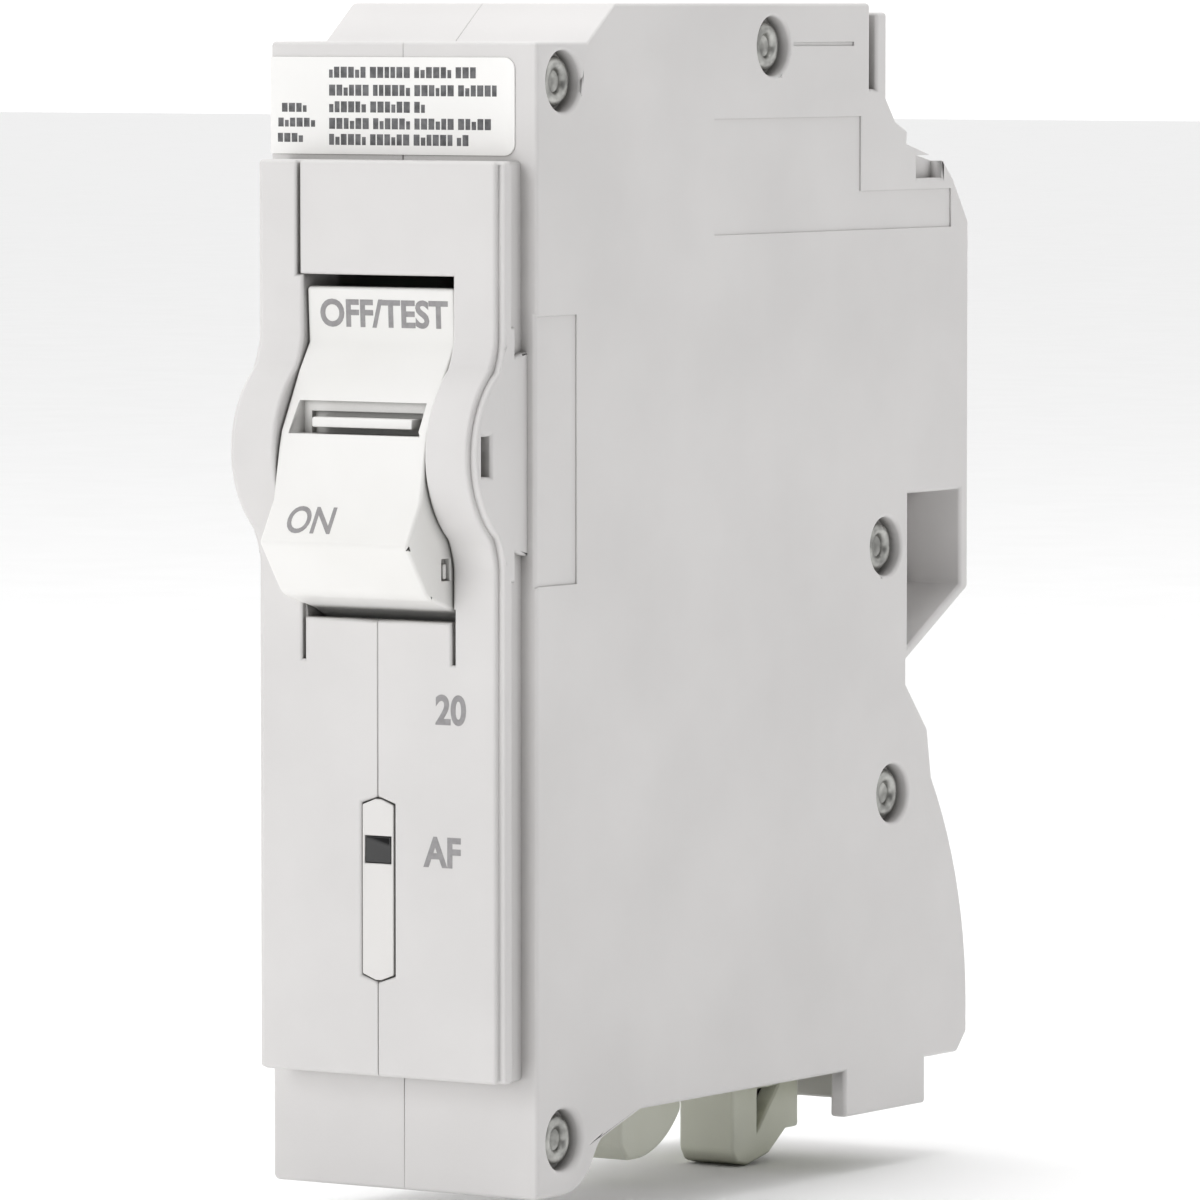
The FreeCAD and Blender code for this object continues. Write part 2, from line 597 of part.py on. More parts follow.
def panel_cuts():
    """What is cut into the front plate: seam grooves, the indicator's bed, its well and the cheek's slot."""
    deep = plate_y + size.panel_groove
    half_groove = size.panel_groove_width / 2
    before = plate_y - PAST
    cuts = []
    for side, label in ((-1, "left"), (1, "right")):
        x = opening_half * side
        cuts.append(block(f"{label}_panel_groove", x - half_groove, x + half_groove, before, deep,
                          down(size.opening_bottom + size.panel_groove_length),
                          down(size.opening_bottom - PAST)))
    cuts.append(block("brand_groove", -size.brand_edge - half_groove, -size.brand_edge + half_groove,
                      before, deep, down(size.opening_top), down(size.plate_top - PAST)))
    # The indicator's seat: a shallow bed with two blunt ends, and a well for the lens.
    cuts.append(indicator_outline("indicator_bed", plate_y, size.indicator_thickness, size.skin_gap))
    cuts.append(block("lens_well", -size.lens_width / 2, size.lens_width / 2, plate_y, plate_inner_y + PAST,
                      down(size.lens_top + size.lens_height), down(size.lens_top)))
    slot_y = back(0) - size.cheek_slot_reach
    cuts.append(block("cheek_slot", size.plate_half_width - size.wall, half_width,
                      slot_y, slot_y + size.cheek_slot_width, pivot_z - size.cheek_slot_height / 2,
                      pivot_z + size.cheek_slot_height / 2))
    return cuts


def side_cuts():
    """What is cut into the sides: the tab's gap, the stab's side pocket, the notch and the recesses."""
    outside = half_width + PAST
    cuts = [block("tab_gap", half_width - size.tab_slot_depth, outside, back(size.roof_length),
                  back(size.roof_length) + size.tab_slot, down(size.tab_height), down(-PAST))]
    # The pocket is closed by the rear wall and by the slanting wall below it.
    slope = Size(((size.neck_top - size.rear_wall_bottom).value / (size.case_depth - size.neck_depth).value),
                 "((sizes.neck_top - sizes.rear_wall_bottom) / (sizes.case_depth - sizes.neck_depth))")

    def slant_floor(inset):
        """How far down the pocket's floor lies, this far in front of the rear face."""
        run = Size(slope.value * inset.value, f"({slope.text} * {inset.text})")
        return size.rear_wall_bottom - size.pocket_slant_wall + run

    cuts.append(prism("side_pocket", "x", half_width - size.pocket_depth, outside, [
        (back(size.pocket_front), down(size.pocket_top)),
        (rear_y - size.pocket_rear_wall, down(size.pocket_top)),
        (rear_y - size.pocket_rear_wall, down(slant_floor(size.pocket_rear_wall))),
        (back(size.pocket_front), down(slant_floor(size.case_depth - size.pocket_front))),
    ]))
    half_slot = size.stab_slot_width / 2
    cuts.append(block("stab_slot", -half_slot, half_slot, back(size.chamber_front) + size.wall,
                      rear_y + PAST, down(size.stab_slot_bottom), down(size.stab_slot_top)))
    # A notch for the neighbour's locating rib, under the stepped corner.
    notch_y = step_y + size.wall
    cuts.append(block("rib_notch", half_width - size.notch_depth, outside, notch_y,
                      notch_y + size.notch_width, down(size.notch_bottom),
                      down(size.notch_bottom - size.notch_height)))
    # Shallow recesses for the side labels, a grip field and a mark.
    skin = half_width - size.side_mark_depth
    front = back(size.sticker_front)
    cuts.append(block("sticker_recess_low", skin, outside, front, back(size.sticker_rear),
                      down(size.sticker_bottom), down(size.sticker_step)))
    cuts.append(block("sticker_recess_high", skin, outside, front, back(size.sticker_corner),
                      down(size.sticker_step), down(size.sticker_top)))
    cuts.append(block("grip_recess", skin, outside, back(-PAST), back(size.grip_rear),
                      down(size.grip_bottom), down(size.grip_top)))
    cuts.append(block("roof_mark", skin, outside, back(size.roof_mark_front),
                      back(size.roof_mark_front + size.roof_mark_length),
                      down(size.roof_mark_drop + size.roof_mark_width), down(size.roof_mark_drop)))
    return cuts


def rivet_cuts():
    """A hole through both shells for each rivet, with a counterbore at each end."""
    cuts = []
    for label, (y, z) in RIVETS.items():
        cuts.append(rod(f"{label}_rivet_hole", "x", -half_width - PAST, size.case_width + PAST * 2, (y, z),
                        size.rivet_radius + size.rivet_clearance))
        for side, name in ((-1, "left"), (1, "right")):
            start = half_width - size.counterbore_depth if side > 0 else -half_width - PAST
            cuts.append(rod(f"{label}_{name}_counterbore", "x", start, size.counterbore_depth + PAST, (y, z),
                            size.counterbore_radius))
    return cuts


def indicator_outline(name, front, depth, grow):
    """The long insert with two blunt ends, grown by a clearance."""
    half = size.indicator_width / 2 + grow
    top = down(size.indicator_top) + grow
    bottom = down(size.indicator_top + size.indicator_length) - grow
    point = size.indicator_point
    tip = size.indicator_tip / 2
    return prism(name, "y", front, front + depth, [
        (-half, top - point), (-tip, top), (tip, top), (half, top - point),
        (half, bottom + point), (tip, bottom), (-tip, bottom), (-half, bottom + point),
    ])


def build_case():
    """Both half shells: one hollow case parted along the middle plane and around the brand panel."""
    block_body = case_block()
    hollow = cut("case_hollow", fuse("case_outer", block_body, *front_plate()), *case_cavity())
    inner_width = inner_half * 2
    posts = [rod(f"{label}_post", "x", -inner_half, inner_width, (y, z), size.boss_radius)
             for label, (y, z) in RIVETS.items()]
    # A post that stands near a wall is trimmed to the case's own outline.
    trimmed = common("rivet_posts", fuse("posts", *posts), block_body)
    bosses = []
    for side, label in ((-1, "left"), (1, "right")):
        low = opening_half if side > 0 else -inner_half
        bosses.append(rod(f"{label}_pivot_boss", "x", low, inner_half - opening_half, (pivot_y, pivot_z),
                          size.pivot_boss_radius))
    solid = fuse("case_solid", hollow, trimmed, *bosses)
    pin_half = inner_half - size.pin_end_gap / 2
    pin_hole = rod("pivot_hole", "x", -pin_half, pin_half * 2, (pivot_y, pivot_z),
                   size.pin_radius + size.running_clearance)
    finished = cut("case_finished", solid, *handle_swing_room(), *panel_cuts(), *side_cuts(), *rivet_cuts(),
                   pin_hole)
    # The right shell also carries the brand panel, which crosses the middle plane.
    reach = size.case_height
    right_side = block("right_half_room", as_size(0), half_width + PAST, -reach, reach, -reach, reach)
    brand = block("brand_panel_room", -size.brand_edge, PAST, -reach, plate_inner_y + size.brand_wall,
                  down(size.opening_top), down(size.plate_top))
    right_room = fuse("right_shell_room", right_side, brand)
    keep("right_case", common("right_case_shape", finished, right_room))
    keep("left_case", cut("left_case_shape", finished, right_room))


def build_rivets():
    """Five steel rivets that hold the two shells together."""
    rivets = []
    reach = half_width - size.counterbore_depth
    for label, (y, z) in RIVETS.items():
        shank = rod(f"{label}_shank", "x", -reach, reach * 2, (y, z), size.rivet_radius)
        heads = []
        for side, name in ((-1, "left"), (1, "right")):
            start = reach if side > 0 else -reach - size.rivet_head_height
            heads.append(rod(f"{label}_{name}_head", "x", start, size.rivet_head_height, (y, z),
                             size.counterbore_radius - size.rivet_head_gap))
        rivets.append(fuse(f"{label}_rivet", shank, *heads))
    keep("case_rivets", group("case_rivets_shape", rivets))


def build_front_trim():
    """The rating label, the indicator insert and its dark lens."""
    label_y = back(0) - size.label_thickness
    label_x = size.label_width - half_width
    keep("rating_label", prism("rating_label_shape", "y", label_y, back(0), [
        (-half_width, down(size.label_top + size.label_height)),
        (label_x, down(size.label_top + size.label_height)),
        (label_x, down(size.label_top)),
        (-half_width, down(size.label_top)),
    ], rounds=[(size.label_round, [1, 2])]))
    insert = indicator_outline("indicator_body", plate_y, size.indicator_thickness - size.skin_gap,
                               as_size(0))
    half = size.lens_width / 2
    gap = size.part_gap
    lens_foot = down(size.lens_top + size.lens_height)
    hole = block("lens_hole", -half, half, plate_y - PAST, plate_inner_y, lens_foot, down(size.lens_top))
    keep("indicator_insert", cut("indicator_insert_shape", insert, hole))
    keep("indicator_lens", block("indicator_lens_shape", -half + gap, half - gap, plate_y + gap,
                                 plate_inner_y, lens_foot + gap, down(size.lens_top) - gap))


# ---------------------------------------------------------------- handle

def build_handle():
    """The rocking handle with its finger pocket and two curved skirts, in its ON position, and its pin."""
    half = opening_half - size.side_clearance
    outer = size.skirt_radius
    inner = outer - size.apron_thickness
    nose, fall = size.nose_reach, size.nose_fall
    apron, rise = size.apron_reach, size.apron_rise
    hub = size.hub_radius

    def at(dy, dz):
        """A point of the outline, measured from the pivot."""
        return pivot_y + dy, pivot_z + dz

    def rim(radius, degrees):
        """A point of the skirt, by its angle behind straight down."""
        return at(radius * math.sin(math.radians(degrees)), -radius * math.cos(math.radians(degrees)))

    # The skirt ends where it meets the case when the handle is thrown over.
    skirt_end, skirt_start = 21.6, -28.7
    body = prism("handle_body", "x", -half, half, [
        at(-apron, rise),
        at(size.apron_thickness - apron, rise),
        at(-hub, hub * 1.8),
        at(-hub * 0.5, hub * 0.7),
        at(-hub * 0.5, -hub * 0.9),
        at(-inner * 0.37, -inner * 0.76),
        rim(inner, -25.6),
        rim(inner, skirt_end) + (-inner,),
        rim(outer, skirt_end),
        rim(outer, skirt_start) + (outer,),
        at(-nose * 0.79, -fall * 1.6),
        at(-nose * 0.93, -fall * 1.2),
        at(-nose, -fall),
        at(-nose * 0.865, -fall * 0.52),
        at(-nose * 0.815, fall * 0.04),
        at(-nose * 0.79, fall * 0.24),
        at(-nose * 0.62, fall * 0.9),
        at(size.side_clearance * 2 - apron, rise * 0.66),
    ], rounds=[(size.nose_round, [12]), (size.skirt_round, [10])])
    barrel = rod("handle_hub", "x", -half, half * 2, (pivot_y, pivot_z), hub)
    bore = rod("handle_bore", "x", -half - PAST, half * 2 + PAST * 2, (pivot_y, pivot_z),
               size.pin_radius + size.running_clearance)
    pocket_half = size.finger_pocket_width / 2
    pocket_z = pivot_z + size.finger_pocket_rise
    pocket = block("finger_pocket", -pocket_half, pocket_half, pivot_y - nose,
                   pivot_y - nose * 0.78 + size.finger_pocket_depth, pocket_z,
                   pocket_z + size.finger_pocket_height)
    keep("handle", cut("handle_shape", fuse("handle_solid", body, barrel), bore, pocket))
    reach = inner_half - size.pin_end_gap
    keep("handle_pin", rod("handle_pin_shape", "x", -reach, reach * 2, (pivot_y, pivot_z), size.pin_radius))


# ---------------------------------------------------------------- switching mechanism

partition_x = opening_half + size.partition_gap
# The board and the partition end just inside the room under the roof.
board_rear = back(size.roof_length) - size.wall - size.board_rear_gap
arm_y = back(size.arm_pivot_depth)
arm_z = down(size.arm_pivot_drop)
contact_y = back(size.contact_depth)
fixed_contact_z = down(size.contact_drop)
moving_contact_z = fixed_contact_z + size.contact_gap
arm_sole_z = moving_contact_z + size.contact_height


def cross_pin(name, y, z, radius):
    """A pin that spans the mechanism's bay from the left wall to the partition."""
    return keep(name, rod(name + "_shape", "x", -inner_half, partition_x + inner_half, (y, z), radius))


def build_contact_arm():
    """The blade that carries the moving contact, its pin and its opening spring."""
    half = size.arm_thickness / 2
    hub_radius = size.arm_pin_radius + size.arm_hub_wall
    neck_z = hub_radius * 0.9
    toe = size.contact_radius + size.contact_margin
    blade = prism("arm_blade", "x", -half, half, [
        (arm_y, arm_z + neck_z),
        (arm_y + size.arm_neck, arm_z + neck_z / 2),
        (contact_y + toe, arm_sole_z + size.arm_depth * 0.75),
        (contact_y + toe, arm_sole_z),
        (contact_y - toe, arm_sole_z),
        (arm_y + size.arm_neck, arm_z - size.arm_depth * 0.8),
        (arm_y, arm_z - neck_z),
    ])
    hub = rod("arm_hub", "x", -half, size.arm_thickness, (arm_y, arm_z), hub_radius)
    spring_y, foot_z = back(size.arm_spring_depth), down(size.arm_spring_foot)
    post_reach = size.arm_spring_offset + size.spring_post_margin
    post = rod("arm_spring_post", "x", -post_reach, post_reach, (spring_y, foot_z), size.spring_post_radius)
    bore = rod("arm_bore", "x", -half - PAST, size.arm_thickness + PAST * 2, (arm_y, arm_z),
               size.arm_pin_radius + size.running_clearance)
    keep("contact_arm", cut("contact_arm_shape", fuse("arm_solid", blade, hub, post), bore))
    keep("moving_contact", rod("moving_contact_shape", "z", moving_contact_z, size.contact_height,
                               (as_size(0), contact_y), size.contact_radius))
    cross_pin("arm_pin", arm_y, arm_z, size.arm_pin_radius)
    spring_z = foot_z + size.spring_seat
    head_z = down(size.arm_spring_head)
    keep("arm_spring", coil_spring("arm_spring_shape", spring_z, head_z - spring_z,
                                   (-size.arm_spring_offset, spring_y), size.arm_spring_radius,
                                   size.spring_wire, "z", size.arm_spring_turns))
    keep("spring_anchor", rod("spring_anchor_shape", "x", -inner_half,
                              inner_half - size.arm_spring_offset + size.spring_post_margin,
                              (spring_y, head_z + size.spring_seat), size.spring_post_radius))


def build_cradle():
    """The trip lever that the armature holds back."""
    y, z = back(size.cradle_pivot_depth), down(size.cradle_pivot_drop)
    tip_y = back(size.armature_depth) - size.latch_gap
    tip_z = z - size.cradle_reach
    width = size.cradle_width
    half = width / 2
    start = size.cradle_offset
    lever = prism("cradle_lever", "x", start, start + size.cradle_thickness, [
        (y - half, z + half),
        (y + half, z + half),
        (y + width * 0.7, z - width),
        (tip_y, tip_z + width * 1.5),
        (tip_y, tip_z),
        (tip_y - width * 0.4, tip_z),
        (y - width * 0.3, z - width * 1.6),
    ])
    bore = rod("cradle_bore", "x", start - PAST, size.cradle_thickness + PAST * 2, (y, z),
               size.arm_pin_radius + size.running_clearance)
    keep("cradle", cut("cradle_shape", lever, bore))
    cross_pin("cradle_pin", y, z, size.arm_pin_radius)


def build_partition():
    """The insulating wall between the mechanism and the circuit board."""
    keep("bay_partition", block("bay_partition_shape", partition_x, partition_x + size.partition_thickness,
                                back(size.board_front), board_rear, down(size.partition_bottom),
                                down(size.board_top)))


# ---------------------------------------------------------------- line side and arc chute

def build_line_side():
    """The line strap with its fixed contact, the jaw that grips the bus stab and the jaw's spring."""
    half = size.strap_width / 2
    strap_top = down(size.line_strap_drop)
    base_y = back(size.jaw_base_depth)
    base_rear = base_y + size.jaw_leaf
    jaw_top = down(size.stab_slot_top) - size.jaw_clearance
    jaw_foot = jaw_top - size.jaw_height
    run = block("line_run", -half, half, contact_y - size.contact_radius - size.line_strap_margin, base_rear,
                strap_top - size.strap_thickness, strap_top)
    fall = block("line_drop", -half, half, base_y, base_rear, jaw_foot, strap_top)
    keep("line_strap", fuse("line_strap_shape", run, fall))
    keep("fixed_contact", rod("fixed_contact_shape", "z", strap_top, fixed_contact_z - strap_top,
                              (as_size(0), contact_y), size.contact_radius))
    inner, outer = size.jaw_gap / 2, size.jaw_gap / 2 + size.jaw_leaf
    tip_y = base_rear + size.jaw_length
    keep("line_jaw", fuse(
        "line_jaw_shape",
        block("right_leaf", inner, outer, base_rear, tip_y, jaw_foot, jaw_top),
        block("left_leaf", -outer, -inner, base_rear, tip_y, jaw_foot, jaw_top),
        block("leaf_root", -outer, outer, base_rear, base_rear + size.jaw_leaf, jaw_foot, jaw_top)))
    near, far = outer + size.part_gap, outer + size.part_gap + size.jaw_spring_leaf
    roof_low, roof_high = jaw_top + size.part_gap, jaw_top + size.part_gap + size.jaw_spring_leaf
    front, rear = base_rear + size.jaw_spring_front, tip_y - size.jaw_spring_rear
    skirt_z = jaw_foot + size.jaw_spring_front
    keep("line_jaw_spring", fuse(
        "line_jaw_spring_shape",
        block("right_spring_leaf", near, far, front, rear, skirt_z, roof_high),
        block("left_spring_leaf", -far, -near, front, rear, skirt_z, roof_high),
        block("spring_bridge", -far, far, front, rear, roof_low, roof_high)))


def build_arc_chute():
    """Notched steel plates between two fibre boards, stacked beside the contacts."""
    half = size.chute_width / 2
    front, rear = back(size.chute_front), back(size.chute_front + size.chute_depth)
    floor = down(size.chute_bottom)
    half_notch = size.arc_notch_width / 2
    count = int(size.arc_plate_count.value)
    plates = []
    for index in range(count):
        low = floor + size.arc_plate_rise + size.plate_pitch * index
        high = low + size.arc_plate_thickness
        blank = block(f"arc_plate_{index}_blank", -half, half, front + size.arc_plate_gap,
                      rear - size.arc_plate_gap, low, high)
        notch = block(f"arc_plate_{index}_notch", -half_notch, half_notch, front - PAST,
                      front + size.arc_notch_depth, low - PAST, high + PAST)
        plates.append(cut(f"arc_plate_{index}", blank, notch))
    keep("arc_plates", group("arc_plates_shape", plates))
    top = floor + size.plate_pitch * count + size.arc_plate_rise
    boards = [block("left_board", -half - size.chute_wall, -half, front, rear, floor, top),
              block("right_board", half, half + size.chute_wall, front, rear, floor, top)]
    keep("arc_chute_boards", group("arc_chute_boards_shape", boards))


# ---------------------------------------------------------------- trip unit and load side

load_strap_top = above(size.load_strap_up)
armature_y = back(size.armature_depth)
armature_rear = armature_y + size.armature_thickness
bimetal_y = back(size.bimetal_depth)
bimetal_rear = bimetal_y + size.bimetal_thickness
screw_z = down(size.armature_top + size.screw_drop)
bracket_y = bimetal_rear + size.bracket_gap


def build_armature():
    """The hinged steel plate that the cradle leans on, its pin, and the yoke that pulls it."""
    half = size.armature_width / 2
    outer = half + size.yoke_wall
    high = down(size.armature_top + size.yoke_drop)
    low = high - size.yoke_height
    blank = block("yoke_blank", -outer, outer, armature_rear + size.yoke_gap, bimetal_rear + size.yoke_wall,
                  low, high)
    room = block("yoke_room", -half, half, armature_rear, bimetal_rear, low - PAST, high + PAST)
    keep("magnet_yoke", cut("magnet_yoke_shape", blank, room))
    hinge_y = armature_y + size.armature_thickness / 2
    hinge_z = down(size.armature_top + size.armature_eye_drop)
    plate = block("armature_plate", -half, half, armature_y, armature_rear,
                  down(size.armature_top + size.armature_length), hinge_z)
    eye = rod("armature_eye", "x", -half, size.armature_width, (hinge_y, hinge_z), size.armature_eye_radius)
    bore = rod("armature_bore", "x", -half - PAST, size.armature_width + PAST * 2, (hinge_y, hinge_z),
               size.armature_pin_radius + size.running_clearance)
    keep("armature", cut("armature_shape", fuse("armature_solid", plate, eye), bore))
    cross_pin("armature_pin", hinge_y, hinge_z, size.armature_pin_radius)


def build_calibration():
    """The bimetal strip, the screw that sets it, the screw's bracket and the armature's spring."""
    half = size.bimetal_width / 2
    keep("bimetal", block("bimetal_shape", -half, half, bimetal_y, bimetal_rear, load_strap_top,
                          down(size.bimetal_top)))
    spring_x = size.armature_width / 2 - size.armature_spring_inset
    bracket = block("bracket_blank", -half - size.bracket_margin, spring_x + size.armature_spring_side,
                    bracket_y, bracket_y + size.bracket_thickness, screw_z - size.bracket_below,
                    screw_z + size.bracket_above)
    thread = rod("screw_thread_hole", "y", bracket_y - PAST, size.bracket_thickness + PAST * 2,
                 (as_size(0), screw_z), size.screw_radius + size.running_clearance)
    keep("calibration_bracket", cut("calibration_bracket_shape", bracket, thread))
    head_y = bracket_y + size.screw_head_gap
    shank = rod("screw_shank", "y", bimetal_rear, head_y - bimetal_rear, (as_size(0), screw_z),
                size.screw_radius)
    head = rod("screw_head", "y", head_y, size.screw_head_height, (as_size(0), screw_z),
               size.screw_radius * 1.5)
    keep("calibration_screw", fuse("calibration_screw_shape", shank, head))
    start = armature_rear + size.spring_end_gap
    length = bracket_y - size.spring_end_gap - start
    keep("armature_spring", coil_spring("armature_spring_shape", start, length, (spring_x, screw_z),
                                        size.armature_spring_radius, size.armature_spring_wire, "y",
                                        size.armature_spring_turns))


def build_braid():
    """The copper braid from the contact arm to the head of the bimetal."""
    start_y, start_z = arm_y + size.braid_start, arm_z - size.braid_fall
    end_z = down(size.bimetal_top) - size.braid_weld
    thickness = size.braid_thickness
    half = size.braid_width / 2
    keep("flexible_braid", prism("flexible_braid_shape", "x", -half, half, [
        (start_y, start_z, size.braid_bend),
        (start_y + thickness, start_z),
        (bimetal_y, end_z, thickness - size.braid_bend),
        (bimetal_y, end_z - thickness),
    ]))


carrier_foot = floor_z + size.part_gap
carrier_top = carrier_foot + size.carrier_height


def build_load_side():
    """The load strap and the plug-on hook with the jaw inside it."""
    half = size.strap_width / 2
    front, rear = back(size.hook_front), back(size.hook_rear)
    drop_y = front + size.load_drop_offset
    drop_rear = drop_y + size.strap_thickness
    run = block("load_run", -half, half, bimetal_y - size.load_strap_lead, drop_rear,
                load_strap_top - size.strap_thickness, load_strap_top)
    fall = block("load_drop", -half, half, drop_y, drop_rear, carrier_top, load_strap_top)
    keep("load_strap", fuse("load_strap_shape", run, fall))
    side = inner_half - size.part_gap
    carrier = block("hook_carrier", -side, side, foot_room_front + size.part_gap,
                    foot_room_rear - size.part_gap, carrier_foot, carrier_top)
    hook_half = size.hook_width / 2
    sole, heel = above(-size.hook_drop_below), above(-size.hook_rear_below)
    collar_z = carrier_foot - size.hook_collar
    hook = prism("hook_finger", "x", -hook_half, hook_half, [
        (front + size.hook_shoulder, carrier_top), (rear, carrier_top), (rear, heel),
        (rear - size.heel_slope, heel), (rear - size.heel_run, sole + size.toe_fall / 2),
        (front + size.toe_run, sole), (front + size.toe_fall / 2, sole + size.toe_fall / 4),
        (front, sole + size.toe_fall), (front, collar_z), (front + size.hook_shoulder, collar_z),
    ], rounds=[(size.hook_round, [4])])
    window_top = carrier_foot - size.hook_window_top
    outside = hook_half + PAST
    window = prism("hook_window", "x", -outside, outside, [
        (front + size.hook_window_front, window_top), (rear - size.hook_window_rear, window_top),
        (front + size.hook_window_front, heel + size.hook_window_tip),
    ])
    slot_half = size.hook_leaf + size.part_gap
    slot = block("hook_slot", -slot_half, slot_half, front + size.hook_slot_front,
                 rear - size.hook_slot_rear, sole + size.hook_slot_floor, carrier_top + PAST)
    keep("rail_hook", cut("rail_hook_shape", fuse("hook_solid", carrier, hook), window, slot))
    gap = size.jaw_blade_gap
    blade = block("jaw_blade", -size.hook_leaf, size.hook_leaf, front + size.hook_slot_front + gap,
                  rear - size.hook_slot_rear - gap, sole + size.hook_slot_floor + gap, carrier_top)
    blade_window = prism("jaw_window", "x", -outside, outside, [
        (front + size.hook_window_front - gap, window_top + gap),
        (rear - size.hook_window_rear + gap, window_top + gap),
        (front + size.hook_window_front - gap, heel + size.hook_window_tip - gap),
    ])
    keep("load_jaw", cut("load_jaw_shape", blade, blade_window))


def build_neutral_side():
    """The clip for the panel's neutral bar and the lead from it to the circuit board."""
    front, rear = back(size.lobe_front), back(size.lobe_rear)
    tip = above(-size.lobe_below)
    half = size.lobe_width / 2
    keep("neutral_clip", prism("neutral_clip_shape", "x", -half, half, [
        (front, carrier_top), (rear, carrier_top), (rear, tip + size.lobe_fall),
        (front + size.lobe_sole_run, tip, size.lobe_bulge), (front + size.lobe_toe_run, tip),
        (front, tip + size.lobe_toe_rise),
    ], rounds=[(size.lobe_round, [4, 5])]))
    lead_y = front + size.lead_offset
    lead_z = carrier_top + size.lead_rise
    run_x = size.lead_side - size.lead_radius
    keep("neutral_lead", fuse(
        "neutral_lead_shape",
        rod("lead_up", "z", carrier_top, size.lead_rise, (size.lead_side, lead_y), size.lead_radius),
        rod("lead_across", "x", run_x, board_x - run_x, (lead_y, lead_z), size.lead_radius)))


# ---------------------------------------------------------------- electronics

board_x = inner_half - size.board_clearance - size.board_thickness


def build_solenoid():
    """The trip solenoid: steel frame, bobbin, coil, plunger and return spring."""
    front = back(size.solenoid_front)
    rear = front + size.solenoid_length
    solenoid_z = down(size.solenoid_drop)
    centre = (-size.solenoid_side, solenoid_z)
    left = -size.solenoid_side
    plate, flange = size.frame_plate, size.flange_thickness
    reach = size.coil_radius + size.frame_gap
    bore_radius = size.plunger_radius + size.plunger_gap
    blank = block("frame_blank", left - reach, left + reach, front, rear,
                  solenoid_z - reach - plate, solenoid_z + reach + plate)
    room = block("frame_room", left - reach - PAST, left + reach + PAST, front + plate, rear - plate,
                 solenoid_z - reach, solenoid_z + reach)
    bore = rod("frame_bore", "y", front - PAST, size.solenoid_length + PAST * 2, centre, bore_radius)
    keep("solenoid_frame", cut("solenoid_frame_shape", blank, room, bore))
    inside = size.solenoid_length - plate * 2
    tube = rod("bobbin_tube", "y", front + plate, inside, centre, size.core_tube_radius)
    flange_radius = size.coil_radius + size.flange_gap
    flanges = [rod("front_flange", "y", front + plate, flange, centre, flange_radius),
               rod("rear_flange", "y", rear - plate - flange, flange, centre, flange_radius)]
    hole = rod("bobbin_hole", "y", front, size.solenoid_length, centre, bore_radius)
    keep("solenoid_bobbin", cut("solenoid_bobbin_shape", fuse("bobbin_solid", tube, *flanges), hole))
    coil = rod("coil_blank", "y", front + plate + flange, inside - flange * 2, centre, size.coil_radius)
    core = rod("coil_core", "y", front, size.solenoid_length, centre, size.core_tube_radius)
    keep("solenoid_coil", cut("solenoid_coil_shape", coil, core))
    nose = armature_y - size.plunger_nose_gap
    collar_y = nose - size.plunger_collar
    tail = front + size.plunger_inset
    shaft = rod("plunger_shaft", "y", tail, nose - tail, centre, size.plunger_radius)
    collar = rod("plunger_collar", "y", collar_y, size.plunger_collar, centre,
                 size.plunger_radius + size.plunger_collar_lip)
    keep("plunger", fuse("plunger_shape", shaft, collar))
    start = rear + size.plunger_spring_gap
    length = collar_y - size.plunger_spring_gap - start
    keep("plunger_spring", coil_spring("plunger_spring_shape", start, length, centre,
                                       size.plunger_radius + size.plunger_spring_lip,
                                       size.plunger_spring_wire, "y", size.plunger_spring_turns))


def build_current_transformer():
    """The toroid that the load strap passes through: a core inside a taped winding."""
    front = back(size.transformer_depth) - size.transformer_length / 2
    axis_z = load_strap_top - size.strap_thickness / 2
    centre = (as_size(0), axis_z)
    cover = size.winding_cover
    # The winding rests on the case's floor.
    outer = axis_z - floor_z - size.wall - cover
    bore = size.transformer_bore

    def ring(name, start, length, outer_radius, inner_radius):
        """A short tube about the strap."""
        return cut(name, rod(name + "_blank", "y", start, length, centre, outer_radius),
                   rod(name + "_bore", "y", start - PAST, length + PAST * 2, centre, inner_radius))

    keep("transformer_core", ring("core_ring", front, size.transformer_length, outer, bore))
    skin = ring("winding_ring", front - cover, size.transformer_length + cover * 2, outer + cover,
                bore - cover)
    hollow = ring("core_space", front, size.transformer_length, outer, bore)
    keep("transformer_winding", cut("transformer_winding_shape", skin, hollow))


def chip(name, depth, drop, length, height):
    """A flat package on the board's inner face."""
    return block(name, board_x - size.chip_height, board_x, back(depth), back(depth + length),
                 down(drop + height), down(drop))


def build_board():
    """The arc-fault circuit board and the packages soldered flat to it."""
    keep("circuit_board", block("circuit_board_shape", board_x, board_x + size.board_thickness,
                                back(size.board_front), board_rear, above(size.board_bottom_up),
                                down(size.board_top)))
    keep("controller_chip", chip("controller_chip_shape", size.controller_depth, size.controller_drop,
                                 size.controller_side, size.controller_side))
    keep("trip_thyristor", chip("trip_thyristor_shape", size.thyristor_depth, size.thyristor_drop,
                                size.thyristor_width, size.thyristor_height))
    diodes = [chip(f"diode_{index}", size.diode_depth + size.diode_pitch * (index % 2),
                   size.diode_drop + size.diode_row * (index // 2), size.diode_length, size.diode_width)
              for index in range(4)]
    keep("rectifier_diodes", group("rectifier_diodes_shape", diodes))
    resistors = [chip(f"resistor_{index}", size.resistor_depth + size.resistor_pitch * (index % 3),
                      size.resistor_drop + size.resistor_row * (index // 3), size.resistor_length,
                      size.resistor_width)
                 for index in range(9)]
    keep("chip_resistors", group("chip_resistors_shape", resistors))


